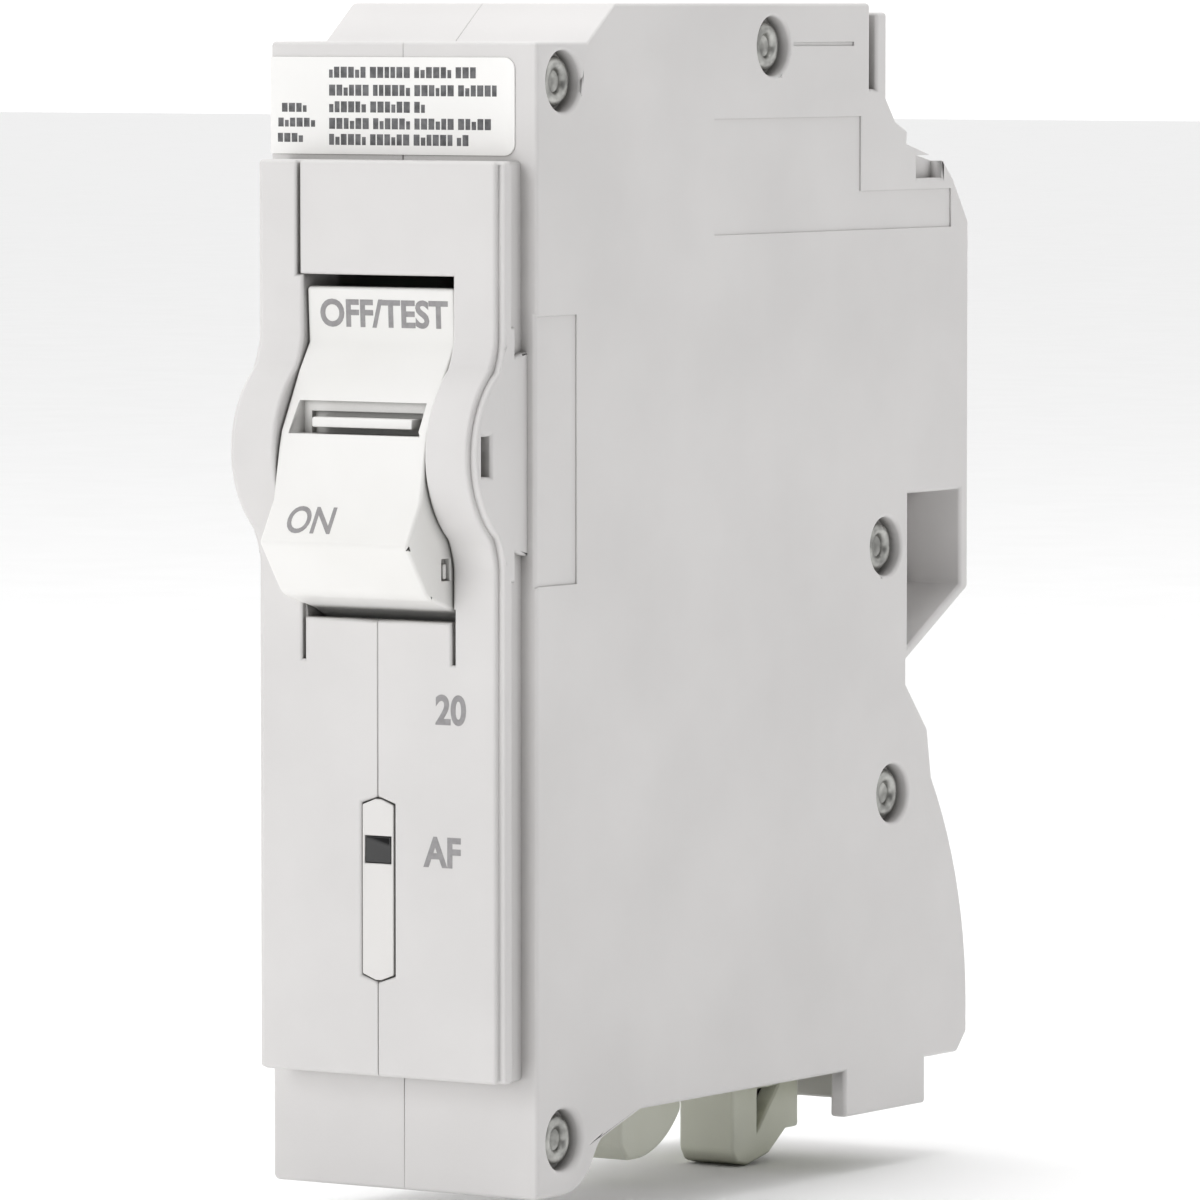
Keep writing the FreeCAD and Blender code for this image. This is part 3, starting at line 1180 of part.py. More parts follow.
def build_tall_parts():
    """The capacitor, the surge varistor, the test contact and the indicator's lamp."""
    can_x = board_x - size.capacitor_radius - size.capacitor_standoff
    keep("filter_capacitor", rod("filter_capacitor_shape", "z", down(size.capacitor_bottom),
                                 size.capacitor_length, (can_x, back(size.capacitor_depth)),
                                 size.capacitor_radius))
    keep("surge_varistor", rod("surge_varistor_shape", "x", size.varistor_side, size.varistor_thickness,
                               (back(size.varistor_depth), down(size.varistor_drop)),
                               size.varistor_radius))
    front, rear = back(size.test_depth), back(size.test_depth + size.test_leaf)
    low, high = down(size.test_bottom), down(size.test_bottom - size.test_foot)
    leaf = block("test_leaf", size.test_side, size.test_side + size.test_width, front, rear, low,
                 down(size.test_top))
    foot = block("test_foot", size.test_side, board_x, front, rear, low, high)
    pad_rear = back(size.board_front + size.test_reach)
    pad = block("test_pad", board_x - size.test_pad, board_x, front, pad_rear,
                low, high)
    keep("test_contact", fuse("test_contact_shape", leaf, foot, pad))
    keep("indicator_led", rod("indicator_led_shape", "y", plate_inner_y + size.led_gap, size.led_length,
                              (as_size(0), down(size.lens_top + size.lens_height / 2)), size.led_radius))


build_case()
build_rivets()
build_front_trim()
build_handle()
build_contact_arm()
build_cradle()
build_partition()
build_line_side()
build_arc_chute()
build_armature()
build_calibration()
build_braid()
build_load_side()
build_neutral_side()
build_solenoid()
build_current_transformer()
build_board()
build_tall_parts()

document.recompute()
failed = [item.Name for item in document.Objects if {"Invalid", "Error"} & set(item.State)]
assert not failed, f"objects that did not recompute: {failed}"
for name, item in nodes.items():
    assert not item.Shape.isNull() and item.Shape.isValid(), f"bad shape: {name}"
os.makedirs("parts", exist_ok=True)
for name, item in nodes.items():
    item.Shape.exportStep(f"parts/{name}.step")
    print(f"{name}: {len(item.Shape.Solids)} solids, {item.Shape.Volume:.1f} mm3")
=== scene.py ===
"""Looks of a one-pole plug-on arc-fault circuit breaker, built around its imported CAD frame."""

import json
import logging
import math
from dataclasses import dataclass
from enum import Enum
from typing import Callable, Sequence

import bmesh
import bpy
import numpy as np
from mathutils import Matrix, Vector
from mathutils.bvhtree import BVHTree
from mathutils.geometry import delaunay_2d_cdt


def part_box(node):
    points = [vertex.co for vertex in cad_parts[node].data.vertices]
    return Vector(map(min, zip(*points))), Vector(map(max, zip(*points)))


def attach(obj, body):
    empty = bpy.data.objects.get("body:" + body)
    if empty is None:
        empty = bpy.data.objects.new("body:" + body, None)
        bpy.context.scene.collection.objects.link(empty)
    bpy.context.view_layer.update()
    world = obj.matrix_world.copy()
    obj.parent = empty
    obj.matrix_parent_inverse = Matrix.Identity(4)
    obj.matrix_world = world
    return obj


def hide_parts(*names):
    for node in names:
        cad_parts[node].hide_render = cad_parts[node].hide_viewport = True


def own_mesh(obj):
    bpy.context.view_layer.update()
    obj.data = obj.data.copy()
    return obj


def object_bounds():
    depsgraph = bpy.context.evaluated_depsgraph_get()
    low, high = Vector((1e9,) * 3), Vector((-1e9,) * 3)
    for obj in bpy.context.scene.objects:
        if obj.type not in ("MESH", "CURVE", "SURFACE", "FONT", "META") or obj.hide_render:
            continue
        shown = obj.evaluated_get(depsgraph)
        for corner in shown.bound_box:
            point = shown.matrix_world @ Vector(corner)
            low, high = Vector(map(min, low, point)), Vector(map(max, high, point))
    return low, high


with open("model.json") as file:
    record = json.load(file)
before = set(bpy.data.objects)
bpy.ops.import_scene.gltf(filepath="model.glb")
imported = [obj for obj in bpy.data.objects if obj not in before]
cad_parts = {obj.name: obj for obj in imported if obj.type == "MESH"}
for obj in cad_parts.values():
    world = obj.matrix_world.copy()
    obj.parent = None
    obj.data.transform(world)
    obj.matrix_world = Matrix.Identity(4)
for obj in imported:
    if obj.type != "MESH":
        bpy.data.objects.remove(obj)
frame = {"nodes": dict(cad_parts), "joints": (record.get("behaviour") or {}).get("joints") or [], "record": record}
CAD_BOX = [list(corner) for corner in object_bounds()]

LOG = logging.getLogger("breaker")
MM = 0.001
FLAT_DEG = 0.4         # neighbours that turn less than this are one flat
CREASE_DEG = 28.0      # an edge that turns more than this is rounded
ROOM_SHARE = 0.42      # the part of the free width beside an edge that its rounding may take
Array = np.ndarray

BODY_OF = {node: body for body, nodes in frame["record"]["behaviour"]["bodies"].items() for node in nodes}
SLOT_OF = {part["node"]: part["material_slot"] for part in frame["record"]["subparts"]}


# ------------------------------------------------------------------ places in the frame, in millimetres

def node_box(node: str) -> tuple[Array, Array]:
    """The lowest and the highest corner of a CAD node, in millimetres."""
    low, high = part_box(node)
    return np.array(low) / MM, np.array(high) / MM


def joint_place(name: str) -> Array:
    """The point that a joint turns about, in millimetres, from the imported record.

    Args:
        name: the joint's name in the record.

    Returns:
        The point in the frame.
    """
    for joint in frame["joints"]:
        if joint["name"] == name:
            return np.array(joint["pos_m"]) / MM
    raise LookupError(name)


PIVOT = joint_place("handle_rock")
FRONT_Y = node_box("rating_label")[1][1]       # the case's front face, behind the label
TOP_Z = node_box("right_case")[1][2]           # the roof
HALF_WIDTH = node_box("right_case")[1][0]
CAD_LOW = node_box("right_case")[0]
PLATE_Y = node_box("indicator_insert")[0][1]   # the front plate's face, flush with the indicator
BOARD_X = node_box("circuit_board")[0][0]      # the board's inner face


def at(x: float, depth: float, drop: float) -> Array:
    """A point given across the case, behind its front face and below its roof.

    Args:
        x: distance to the right of the middle plane, in millimetres.
        depth: distance behind the front face, in millimetres.
        drop: distance below the roof, in millimetres.

    Returns:
        The point in the frame, in millimetres.
    """
    return np.array([x, FRONT_Y + depth, TOP_Z - drop])


# ------------------------------------------------------------------ shader building

def linear(code: str) -> tuple[float, float, float, float]:
    """Turn an sRGB hex colour into linear light.

    Args:
        code: six hex digits after a #.

    Returns:
        Red, green, blue and an alpha of 1, where each channel c is c / 12.92 up to 0.04045 and
        ((c + 0.055) / 1.055) to the power 2.4 above it.
    """
    channels = [int(code[start:start + 2], 16) / 255 for start in (1, 3, 5)]
    light = [c / 12.92 if c <= 0.04045 else ((c + 0.055) / 1.055) ** 2.4 for c in channels]
    return (*light, 1.0)


def add_node(tree: bpy.types.NodeTree, kind: str, inputs: dict | None = None, **settings) -> bpy.types.Node:
    """Add one shader node, set it up and wire it.

    Args:
        tree: the material's node tree.
        kind: the node's type name without its ShaderNode prefix.
        inputs: socket name or index to a value, or to an output socket that feeds it.
        settings: the node's own properties.

    Returns:
        The new node.
    """
    node = tree.nodes.new("ShaderNode" + kind)
    for key, value in settings.items():
        setattr(node, key, value)
    for key, value in (inputs or {}).items():
        if isinstance(value, bpy.types.NodeSocket):
            tree.links.new(value, node.inputs[key])
        else:
            node.inputs[key].default_value = value
    return node


@dataclass(frozen=True)
class Finish:
    """What a surface is made of: the plain case is a satin dielectric with a fine even grain."""

    name: str
    colour: str
    shade: str                     # the colour that the tone drifts to
    roughness: float
    ior: float = 1.5
    metallic: float = 0.0
    coat: float = 0.0
    drift_mm: float = 14.0
    grain_mm: float = 0.4
    grain_depth_mm: float = 0.006

    def material(self) -> bpy.types.Material:
        """Build the node material, or return it when it exists.

        Returns:
            The material.
        """
        found = bpy.data.materials.get(self.name)
        if found:
            return found
        made = bpy.data.materials.new(self.name)
        made.use_nodes = True
        tree = made.node_tree
        tree.nodes.clear()
        shader = add_node(tree, "BsdfPrincipled", {
            "Roughness": self.roughness, "Metallic": self.metallic, "IOR": self.ior, "Coat Weight": self.coat,
            "Coat Roughness": 0.08})
        place = add_node(tree, "TexCoord").outputs["Object"]
        tree.links.new(self.tone(tree, place), shader.inputs["Base Color"])
        relief = add_node(tree, "Bump", {"Height": self.relief(tree, place), "Strength": 1.0,
                                         "Distance": self.grain_depth_mm * MM})
        tree.links.new(relief.outputs["Normal"], shader.inputs["Normal"])
        add_node(tree, "OutputMaterial", {"Surface": shader.outputs["BSDF"]})
        return made

    def tone(self, tree: bpy.types.NodeTree, place: bpy.types.NodeSocket) -> bpy.types.NodeSocket:
        """The colour: a slow drift between the two tones, as batch, handling and age give.

        Args:
            tree: the material's node tree.
            place: the socket that gives the point on the object.

        Returns:
            The colour's socket.
        """
        drift = add_node(tree, "TexNoise", {"Vector": place, "Scale": 1 / (self.drift_mm * MM), "Detail": 3.0})
        ramp = add_node(tree, "ValToRGB", {"Fac": drift.outputs["Fac"]})
        for element, position, code in zip(ramp.color_ramp.elements, (0.34, 0.66), (self.shade, self.colour)):
            element.position = position
            element.color = linear(code)
        return ramp.outputs["Color"]

    def relief(self, tree: bpy.types.NodeTree, place: bpy.types.NodeSocket) -> bpy.types.NodeSocket:
        """The height of the surface's texture: an even noise of the grain's size."""
        return add_node(tree, "TexNoise", {"Vector": place, "Scale": 1 / (self.grain_mm * MM), "Detail": 2.0,
                                           "Roughness": 0.6}).outputs["Fac"]


@dataclass(frozen=True)
class Moulded(Finish):
    """Plastic from a spark-eroded mould: soft pits, and painted shade that darkens its crevices and hollows."""

    # Painted shade: the dark colour that crevices, seams and recesses are darkened towards, and how far the occlusion
    # looks.
    painted_shade: str = "#64625E"
    painted_shade_reach_mm: float = 2.2

    def tone(self, tree: bpy.types.NodeTree, place: bpy.types.NodeSocket) -> bpy.types.NodeSocket:
        """The drifting colour, mixed towards the painted shade colour where the surface sits in a narrow hollow,
        where shade falls.

        Args:
            tree: the material's node tree.
            place: the socket that gives the point on the object.

        Returns:
            The colour's socket.
        """
        clean = super().tone(tree, place)
        # Painted shade: ambient occlusion darkens the colour in narrow hollows, where shade falls.
        hollow = add_node(tree, "AmbientOcclusion", {"Distance": self.painted_shade_reach_mm * MM}, samples=8)
        share = add_node(tree, "MapRange", {"Value": hollow.outputs["AO"], "From Min": 0.1, "From Max": 0.72,
                                            "To Min": 0.85, "To Max": 0.0})
        mixed = add_node(tree, "Mix", {"Factor": share.outputs["Result"], "A": clean, "B": linear(self.painted_shade)},
                         data_type="RGBA")
        return mixed.outputs["Result"]

    def relief(self, tree: bpy.types.NodeTree, place: bpy.types.NodeSocket) -> bpy.types.NodeSocket:
        """Rounded pits of the grain's size over a longer swell that a moulding's sink leaves.

        Args:
            tree: the material's node tree.
            place: the socket that gives the point on the object.

        Returns:
            The height's socket.
        """
        pits = add_node(tree, "TexVoronoi", {"Vector": place, "Scale": 1 / (self.grain_mm * MM)},
                        feature="SMOOTH_F1")
        swell = add_node(tree, "TexNoise", {"Vector": place, "Scale": 1 / (6 * MM), "Detail": 1.0})
        return add_node(tree, "Math", {0: pits.outputs["Distance"], 1: swell.outputs["Fac"], 2: 0.0},
                        operation="ADD").outputs["Value"]


@dataclass(frozen=True)
class Drawn(Finish):
    """Rolled strip or drawn wire: fine lines along one direction, and roughness that follows them."""

    along: tuple[float, float, float] = (1.0, 0.08, 1.0)   # scale of the lines on each axis: small is long
    metallic: float = 1.0
    drift_mm: float = 5.0

    def relief(self, tree: bpy.types.NodeTree, place: bpy.types.NodeSocket) -> bpy.types.NodeSocket:
        """Noise that is stretched along the rolling direction.

        Args:
            tree: the material's node tree.
            place: the socket that gives the point on the object.

        Returns:
            The height's socket.
        """
        turned = add_node(tree, "Mapping", {"Vector": place, "Scale": self.along})
        return add_node(tree, "TexNoise", {"Vector": turned.outputs["Vector"], "Scale": 1 / (self.grain_mm * MM),
                                           "Detail": 3.0}).outputs["Fac"]


@dataclass(frozen=True)
class Woven(Finish):
    """Glass cloth under a solder mask: two crossing sets of waves at the thread's spacing."""

    thread_mm: float = 0.55

    def relief(self, tree: bpy.types.NodeTree, place: bpy.types.NodeSocket) -> bpy.types.NodeSocket:
        """The sum of a wave along Y and a wave along Z.

        Args:
            tree: the material's node tree.
            place: the socket that gives the point on the object.

        Returns:
            The height's socket.
        """
        waves = [add_node(tree, "TexWave", {"Vector": place, "Scale": 0.314 / (self.thread_mm * MM)},
                          wave_type="BANDS", bands_direction=direction) for direction in ("Y", "Z")]
        return add_node(tree, "Math", {0: waves[0].outputs["Fac"], 1: waves[1].outputs["Fac"]},
                        operation="ADD").outputs["Value"]


@dataclass(frozen=True)
class Braided(Drawn):
    """Fine bare strands plaited flat: two sets of diagonal ridges."""

    strand_mm: float = 0.45

    def relief(self, tree: bpy.types.NodeTree, place: bpy.types.NodeSocket) -> bpy.types.NodeSocket:
        """The larger of two diagonal waves, so that one set of strands seems to pass over the other.

        Args:
            tree: the material's node tree.
            place: the socket that gives the point on the object.

        Returns:
            The height's socket.
        """
        waves = []
        for tilt in (0.8, -0.8):
            turned_place = add_node(tree, "Mapping", {"Vector": place, "Rotation": (tilt, 0.0, 0.0)})
            waves.append(add_node(tree, "TexWave", {"Vector": turned_place.outputs["Vector"],
                                                    "Scale": 0.314 / (self.strand_mm * MM)},
                                  wave_type="BANDS", bands_direction="Z"))
        return add_node(tree, "Math", {0: waves[0].outputs["Fac"], 1: waves[1].outputs["Fac"]},
                        operation="MAXIMUM").outputs["Value"]


# What each slot of the record is made of.
FINISHES = {
    # Glass-filled polyester, compression moulded: an even off-white satin with a fine eroded texture.
    "case_plastic": Moulded("moulded_polyester", "#DCDAD9", "#D6D4D3", 0.52, grain_mm=0.35, grain_depth_mm=0.006),
    # ABS, injection moulded and touched every day: the same white, smoother and a little glossier.
    "handle_plastic": Moulded("injection_moulded_abs", "#EEEDEB", "#E9E8E5", 0.4, ior=1.54, grain_mm=0.6,
                              grain_depth_mm=0.003),
    "insert_plastic": Moulded("injection_moulded_nylon", "#E4E2E0", "#DEDCDA", 0.42, grain_mm=0.5,
                              grain_depth_mm=0.003),
    # Tinted acrylic, polished: nearly black, and it mirrors the light.
    "lens_plastic": Finish("polished_dark_acrylic", "#0B0C0E", "#070708", 0.08, ior=1.49, coat=0.6,
                           grain_mm=2.0, grain_depth_mm=0.001),
    # Unfilled nylon, moulded: a milky cream-green with a soft sheen.
    # Its painted shade colour is a dark olive that its crevices are darkened towards.
    "hook_plastic": Moulded("natural_moulded_nylon", "#E6E8DA", "#DADCCB", 0.38, ior=1.53, grain_mm=0.8,
                            grain_depth_mm=0.004, painted_shade="#6B6A55"),
    # Vulcanised fibre, pressed: red-brown and matt with short matted fibres.
    "insulator": Finish("pressed_vulcanised_fibre", "#9A6A45", "#7F5233", 0.72, drift_mm=3.0, grain_mm=0.3,
                        grain_depth_mm=0.02),
    # Polyester film with a matt print coating: the whitest surface, with a slight sheen.
    "label_paper": Finish("matt_label_film", "#F6F5F3", "#F2F1EF", 0.34, ior=1.6, grain_mm=1.5,
                          grain_depth_mm=0.003),
    # Mild steel, zinc plated and upset: grey, softly mottled by the spinning tool.
    "rivet_steel": Drawn("zinc_plated_steel", "#BDBDB9", "#8F8F8C", 0.36, grain_mm=0.25, grain_depth_mm=0.01,
                         along=(1.0, 1.0, 1.0), drift_mm=1.2),
    # Silver steel, centreless ground: bright with rings about the pin.
    "pin_steel": Drawn("ground_steel", "#B9B9B7", "#A2A2A0", 0.22, grain_mm=0.1, grain_depth_mm=0.003,
                       along=(3.0, 0.3, 0.3)),
    # Music wire, drawn: dark and smooth.
    "spring_steel": Drawn("drawn_music_wire", "#7C7D80", "#5E5F62", 0.28, grain_mm=0.12, grain_depth_mm=0.003),
    # Cold-rolled steel, stamped and nickel plated: warm grey with long rolling lines.
    "plate_steel": Drawn("nickel_plated_stamping", "#A9A6A0", "#8B8882", 0.32, grain_mm=0.18, grain_depth_mm=0.004),
    # Copper strip, stamped: salmon that has begun to brown.
    "copper": Drawn("stamped_copper_strip", "#C9825F", "#9A5C40", 0.3, grain_mm=0.18, grain_depth_mm=0.004),
    # Copper strip under hot-dipped tin: pale, slightly streaky.
    "tinned_copper": Drawn("tin_plated_strip", "#CFCECB", "#AFAEAA", 0.3, grain_mm=0.3, grain_depth_mm=0.006),
    # Silver alloy, headed: the palest metal here, matt from the press.
    "silver_contact": Drawn("headed_silver_alloy", "#DAD9D5", "#BDBCB8", 0.38, grain_mm=0.2, grain_depth_mm=0.006,
                            along=(1.0, 1.0, 1.0)),
    # Two alloys rolled together: straw on steel grey.
    "bimetal_strip": Drawn("rolled_bimetal", "#A79C86", "#8C8372", 0.3, grain_mm=0.15, grain_depth_mm=0.004,
                           along=(1.0, 1.0, 0.08)),
    # Copper wire under polyurethane enamel: deep amber with a clear gloss.
    "magnet_wire": Finish("enamelled_copper_wire", "#B2602E", "#8A4018", 0.3, metallic=0.7, coat=0.8, drift_mm=2.0,
                          grain_mm=0.5, grain_depth_mm=0.002),
    # Ferrite, sintered: near black and faintly granular.
    "ferrite": Finish("sintered_ferrite", "#33343A", "#25262A", 0.55, ior=2.0, grain_mm=0.2, grain_depth_mm=0.01),
    # Glass-epoxy laminate under green solder mask: the cloth's weave shows through the gloss.
    "board_laminate": Woven("solder_masked_laminate", "#1F6B3E", "#175430", 0.3, coat=0.4, grain_depth_mm=0.004),
    # Silica-filled epoxy, transfer moulded: black and finely matt.
    "chip_epoxy": Finish("moulded_epoxy", "#26272A", "#1D1E20", 0.6, grain_mm=0.15, grain_depth_mm=0.006),
    # Black moulded nylon; its painted shade colour darkens its crevices further.
    "bobbin_plastic": Moulded("black_moulded_nylon", "#2B2B2C", "#222223", 0.45, grain_mm=0.5,
                              grain_depth_mm=0.004, painted_shade="#161616"),
    # Zinc oxide disc dipped in epoxy: blue, thick and glossy, with a slack surface.
    "varistor_epoxy": Finish("dipped_blue_epoxy", "#2A4A96", "#213C7D", 0.2, coat=0.5, grain_mm=2.5,
                             grain_depth_mm=0.03),
    "led_epoxy": Finish("cast_red_epoxy", "#C32A22", "#A81F19", 0.1, coat=0.5, grain_mm=1.0, grain_depth_mm=0.001),
    # PVC insulation, extruded: white with a soft gloss.
    "wire_pvc": Finish("extruded_pvc", "#E4E3DF", "#D9D8D3", 0.35, ior=1.53, grain_mm=0.6, grain_depth_mm=0.003),
}
# Bare copper strands, plaited: warm, and broken up by the strands' own shadows.
BRAIDED_COPPER = Braided("plaited_copper_strand", "#C07A55", "#84492F", 0.35, grain_depth_mm=0.12)
# Pad-printed ink: a flat mid grey with the plastic's texture grinning through.
PRINT_INK = Finish("pad_printed_grey_ink", "#8F8D8E", "#9B999A", 0.6, drift_mm=0.5, grain_mm=0.2,
                   grain_depth_mm=0.004)
# Thermal-transfer ribbon on the label: soft black that thins out in places.
LABEL_INK = Finish("thermal_transfer_ink", "#4A4A4C", "#6E6E70", 0.5, drift_mm=0.6, grain_mm=0.2,
                   grain_depth_mm=0.002)
# White laser marking on black packages.
MARK_INK = Finish("laser_mark", "#B9B9B4", "#9C9C98", 0.7, drift_mm=0.4, grain_mm=0.1, grain_depth_mm=0.002)


# ------------------------------------------------------------------ meshes from arrays

def points_of(mesh: bpy.types.Mesh) -> Array:
    """A mesh's points as (n, 3), in its own metres.

    Args:
        mesh: the mesh.

    Returns:
        The points, in single precision as the mesh holds them.
    """
    points = np.empty(len(mesh.vertices) * 3, np.float32)
    mesh.vertices.foreach_get("co", points)
    return points.reshape(-1, 3)


def quads(rows: int, columns: int, wrap: bool = True) -> Array:
    """Corner numbers of the faces between neighbouring rows and columns of a grid.

    Args:
        rows: the number of loops.
        columns: the number of points in a loop.
        wrap: whether each loop closes on itself.

    Returns:
        Four corner numbers for each face as (n, 4).
    """
    first = np.arange(columns if wrap else columns - 1)
    after = (first + 1) % columns
    row = np.arange(rows - 1)[:, None] * columns
    return np.stack([row + first, row + after, row + columns + after, row + columns + first], -1).reshape(-1, 4)


def shells(name: str, grids: Sequence[Array]) -> bpy.types.Object:
    """Make one piece from closed shells.

    Args:
        name: the piece's name.
        grids: for each shell, its points as (rows, columns, 3) in millimetres. Each row is a loop, and the
            first and last rows are closed with one face each.

    Returns:
        The object, at the origin, with its faces outwards.
    """
    points, faces, start = [], [], 0
    for grid in grids:
        rows, columns = grid.shape[:2]
        points.append(grid.reshape(-1, 3))
        faces += (quads(rows, columns) + start).tolist()
        last = start + (rows - 1) * columns
        faces += [list(range(start + columns - 1, start - 1, -1)), list(range(last, last + columns))]
        start += rows * columns
    mesh = bpy.data.meshes.new(name)
    mesh.from_pydata(np.concatenate(points) * MM, [], faces)
    return finished(name, mesh)


def finished(name: str, mesh: bpy.types.Mesh, sharp_deg: float = 40.0) -> bpy.types.Object:
    """Turn a mesh's faces outwards, shade it smooth up to an angle and link its object.

    Args:
        name: the piece's name.
        mesh: its mesh.
        sharp_deg: edges that turn more than this stay sharp.

    Returns:
        The object, at the origin.
    """
    form = bmesh.new()
    form.from_mesh(mesh)
    bmesh.ops.recalc_face_normals(form, faces=form.faces)
    for edge in form.edges:
        edge.smooth = edge.calc_face_angle(0.0) < math.radians(sharp_deg)
    for face in form.faces:
        face.smooth = True
    form.to_mesh(mesh)
    form.free()
    piece = bpy.data.objects.new(name, mesh)
    bpy.context.scene.collection.objects.link(piece)
    return piece


class Axis(Enum):
    """The axis that a shape stands on: the places of its two flat coordinates and of its height."""

    X = (1, 2, 0)
    Y = (0, 2, 1)
    Z = (0, 1, 2)


def oriented(flat: Array, height: Array, axis: Axis) -> Array:
    """Stand two flat coordinates and a height on an axis: X takes (y, z), Y takes (x, z), Z takes (x, y).

    Args:
        flat: the flat coordinates as (..., 2).
        height: the coordinate along the axis, one for each point.
        axis: the axis.

    Returns:
        The points as (..., 3).
    """
    first, second, third = axis.value
    points = np.empty(flat.shape[:-1] + (3,))
    points[..., first] = flat[..., 0]
    points[..., second] = flat[..., 1]
    points[..., third] = height
    return points


def turned(profile: Sequence[tuple[float, float]], centre: tuple[float, float], axis: Axis, steps: int = 48) -> Array:
    """A turned shape: each (height, radius) of the profile swept round as radius times cosine and sine.

    Args:
        profile: the heights along the axis with their radii, from one end to the other.
        centre: where the axis stands, as the two flat coordinates.
        axis: the axis that it is turned about.
        steps: the number of points round it.

    Returns:
        The shape's grid.
    """
    height, radius = np.array(profile).T
    angle = np.linspace(0, 2 * np.pi, steps, endpoint=False)
    circle = np.stack([np.cos(angle), np.sin(angle)], -1)
    flat = np.array(centre) + radius[:, None, None] * circle
    return oriented(flat, np.broadcast_to(height[:, None], flat.shape[:2]), axis)


def rounded(corners: Sequence[tuple[float, ...]], steps: int = 6) -> Array:
    """An outline with rounded corners.

    Each corner is (u, v, radius). Its arc starts and ends radius / tan(half the corner's angle) from it, and
    its points are centre + radius * (cosine, sine) of evenly spaced angles.

    Args:
        corners: the corners in anticlockwise order.
        steps: the number of runs that each arc has.

    Returns:
        The outline's points as (n, 2).
    """
    spots = np.array([corner[:2] for corner in corners], float)
    loops = []
    for index, corner in enumerate(corners):
        here, before, after = spots[index], spots[index - 1], spots[(index + 1) % len(spots)]
        if len(corner) < 3 or corner[2] <= 0:
            loops.append(here[None])
            continue
        back, ahead = (before - here), (after - here)
        back, ahead = back / np.linalg.norm(back), ahead / np.linalg.norm(ahead)
        half = math.acos(np.clip(back @ ahead, -1, 1)) / 2
        middle = (back + ahead) / np.linalg.norm(back + ahead)
        centre = here + middle * corner[2] / math.sin(half)
        first = here + back * corner[2] / math.tan(half) - centre
        last = here + ahead * corner[2] / math.tan(half) - centre
        start = math.atan2(first[1], first[0])
        sweep = (math.atan2(last[1], last[0]) - start + np.pi) % (2 * np.pi) - np.pi
        angle = start + sweep * np.linspace(0, 1, steps + 1)
        loops.append(centre + corner[2] * np.stack([np.cos(angle), np.sin(angle)], -1))
    return np.concatenate(loops)


def inset(outline: Array, distance: float) -> Array:
    """Move an outline inwards: each point goes along the mitre of its two edges' inward normals.

    Args:
        outline: anticlockwise points as (n, 2).
        distance: how far each edge moves.

    Returns:
        The moved points.
    """
    run = np.roll(outline, -1, axis=0) - outline
    run /= np.linalg.norm(run, axis=1, keepdims=True)
    ahead = np.stack([-run[:, 1], run[:, 0]], -1)
    behind = np.roll(ahead, 1, axis=0)
    mitre = (ahead + behind) / (1 + (ahead * behind).sum(1, keepdims=True))
    return outline + mitre * distance


def slab(outline: Array, low: float, high: float, axis: Axis, edge: float, steps: int = 3) -> Array:
    """A plate with rounded rims.

    Layer k of a rim stands edge * (1 - cosine) in from the face and edge * (1 - sine) in from the outline, for
    angles from 0 to a right angle.

    Args:
        outline: anticlockwise points as (n, 2).
        low: where the plate starts on the axis.
        high: where it ends.
        axis: the axis that it is pushed along.
        edge: the rims' radius.
        steps: the number of layers in a rim.

    Returns:
        The plate's grid.
    """
    angle = np.linspace(0, np.pi / 2, steps + 1)
    sides = edge * (1 - np.sin(angle))
    lifts = edge * (1 - np.cos(angle))
    layers = [(low + lift, side) for lift, side in zip(lifts, sides)]
    layers += [(high - lift, side) for lift, side in zip(lifts[::-1], sides[::-1])]
    return np.stack([oriented(inset(outline, side), np.full(len(outline), height), axis)
                     for height, side in layers])


def bar(x0: float, x1: float, y0: float, y1: float, z0: float, z1: float, edge: float = 0.05) -> Array:
    """A small block with rounded edges, pushed along X."""
    outline = rounded([(y0, z0, edge), (y1, z0, edge), (y1, z1, edge), (y0, z1, edge)], steps=2)
    return slab(outline, x0, x1, Axis.X, edge, steps=2)


def swept(path: Array, side: Array, outline: Array) -> Array:
    """Carry a section along a path.

    Args:
        path: the path's points as (n, 3).
        side: a direction for the section's first coordinate, one for all points or one each.
        outline: the section as (m, 2).

    Returns:
        A grid whose point is path + u * side + v * (tangent x side), with side made square to the tangent.
    """
    tangent = np.gradient(path, axis=0)
    tangent /= np.linalg.norm(tangent, axis=1, keepdims=True)
    side = np.broadcast_to(side, path.shape)
    side = side - (side * tangent).sum(1, keepdims=True) * tangent
    side = side / np.linalg.norm(side, axis=1, keepdims=True)
    other = np.cross(tangent, side)
    return path[:, None] + outline[None, :, :1] * side[:, None] + outline[None, :, 1:] * other[:, None]


def circle(radius: float, steps: int = 10) -> Array:
    """A round section."""
    angle = np.linspace(0, 2 * np.pi, steps, endpoint=False)
    return radius * np.stack([np.cos(angle), np.sin(angle)], -1)


# ------------------------------------------------------------------ pieces from CAD nodes

def merged(node: str) -> bmesh.types.BMesh:
    """A node's mesh with its loose triangles joined and its flat facets made whole.

    Args:
        node: the CAD node, whose own mesh is left alone.

    Returns:
        The mesh in whole facets.
    """
    form = bmesh.new()
    form.from_mesh(frame["nodes"][node].data)
    return whole_facets(form)


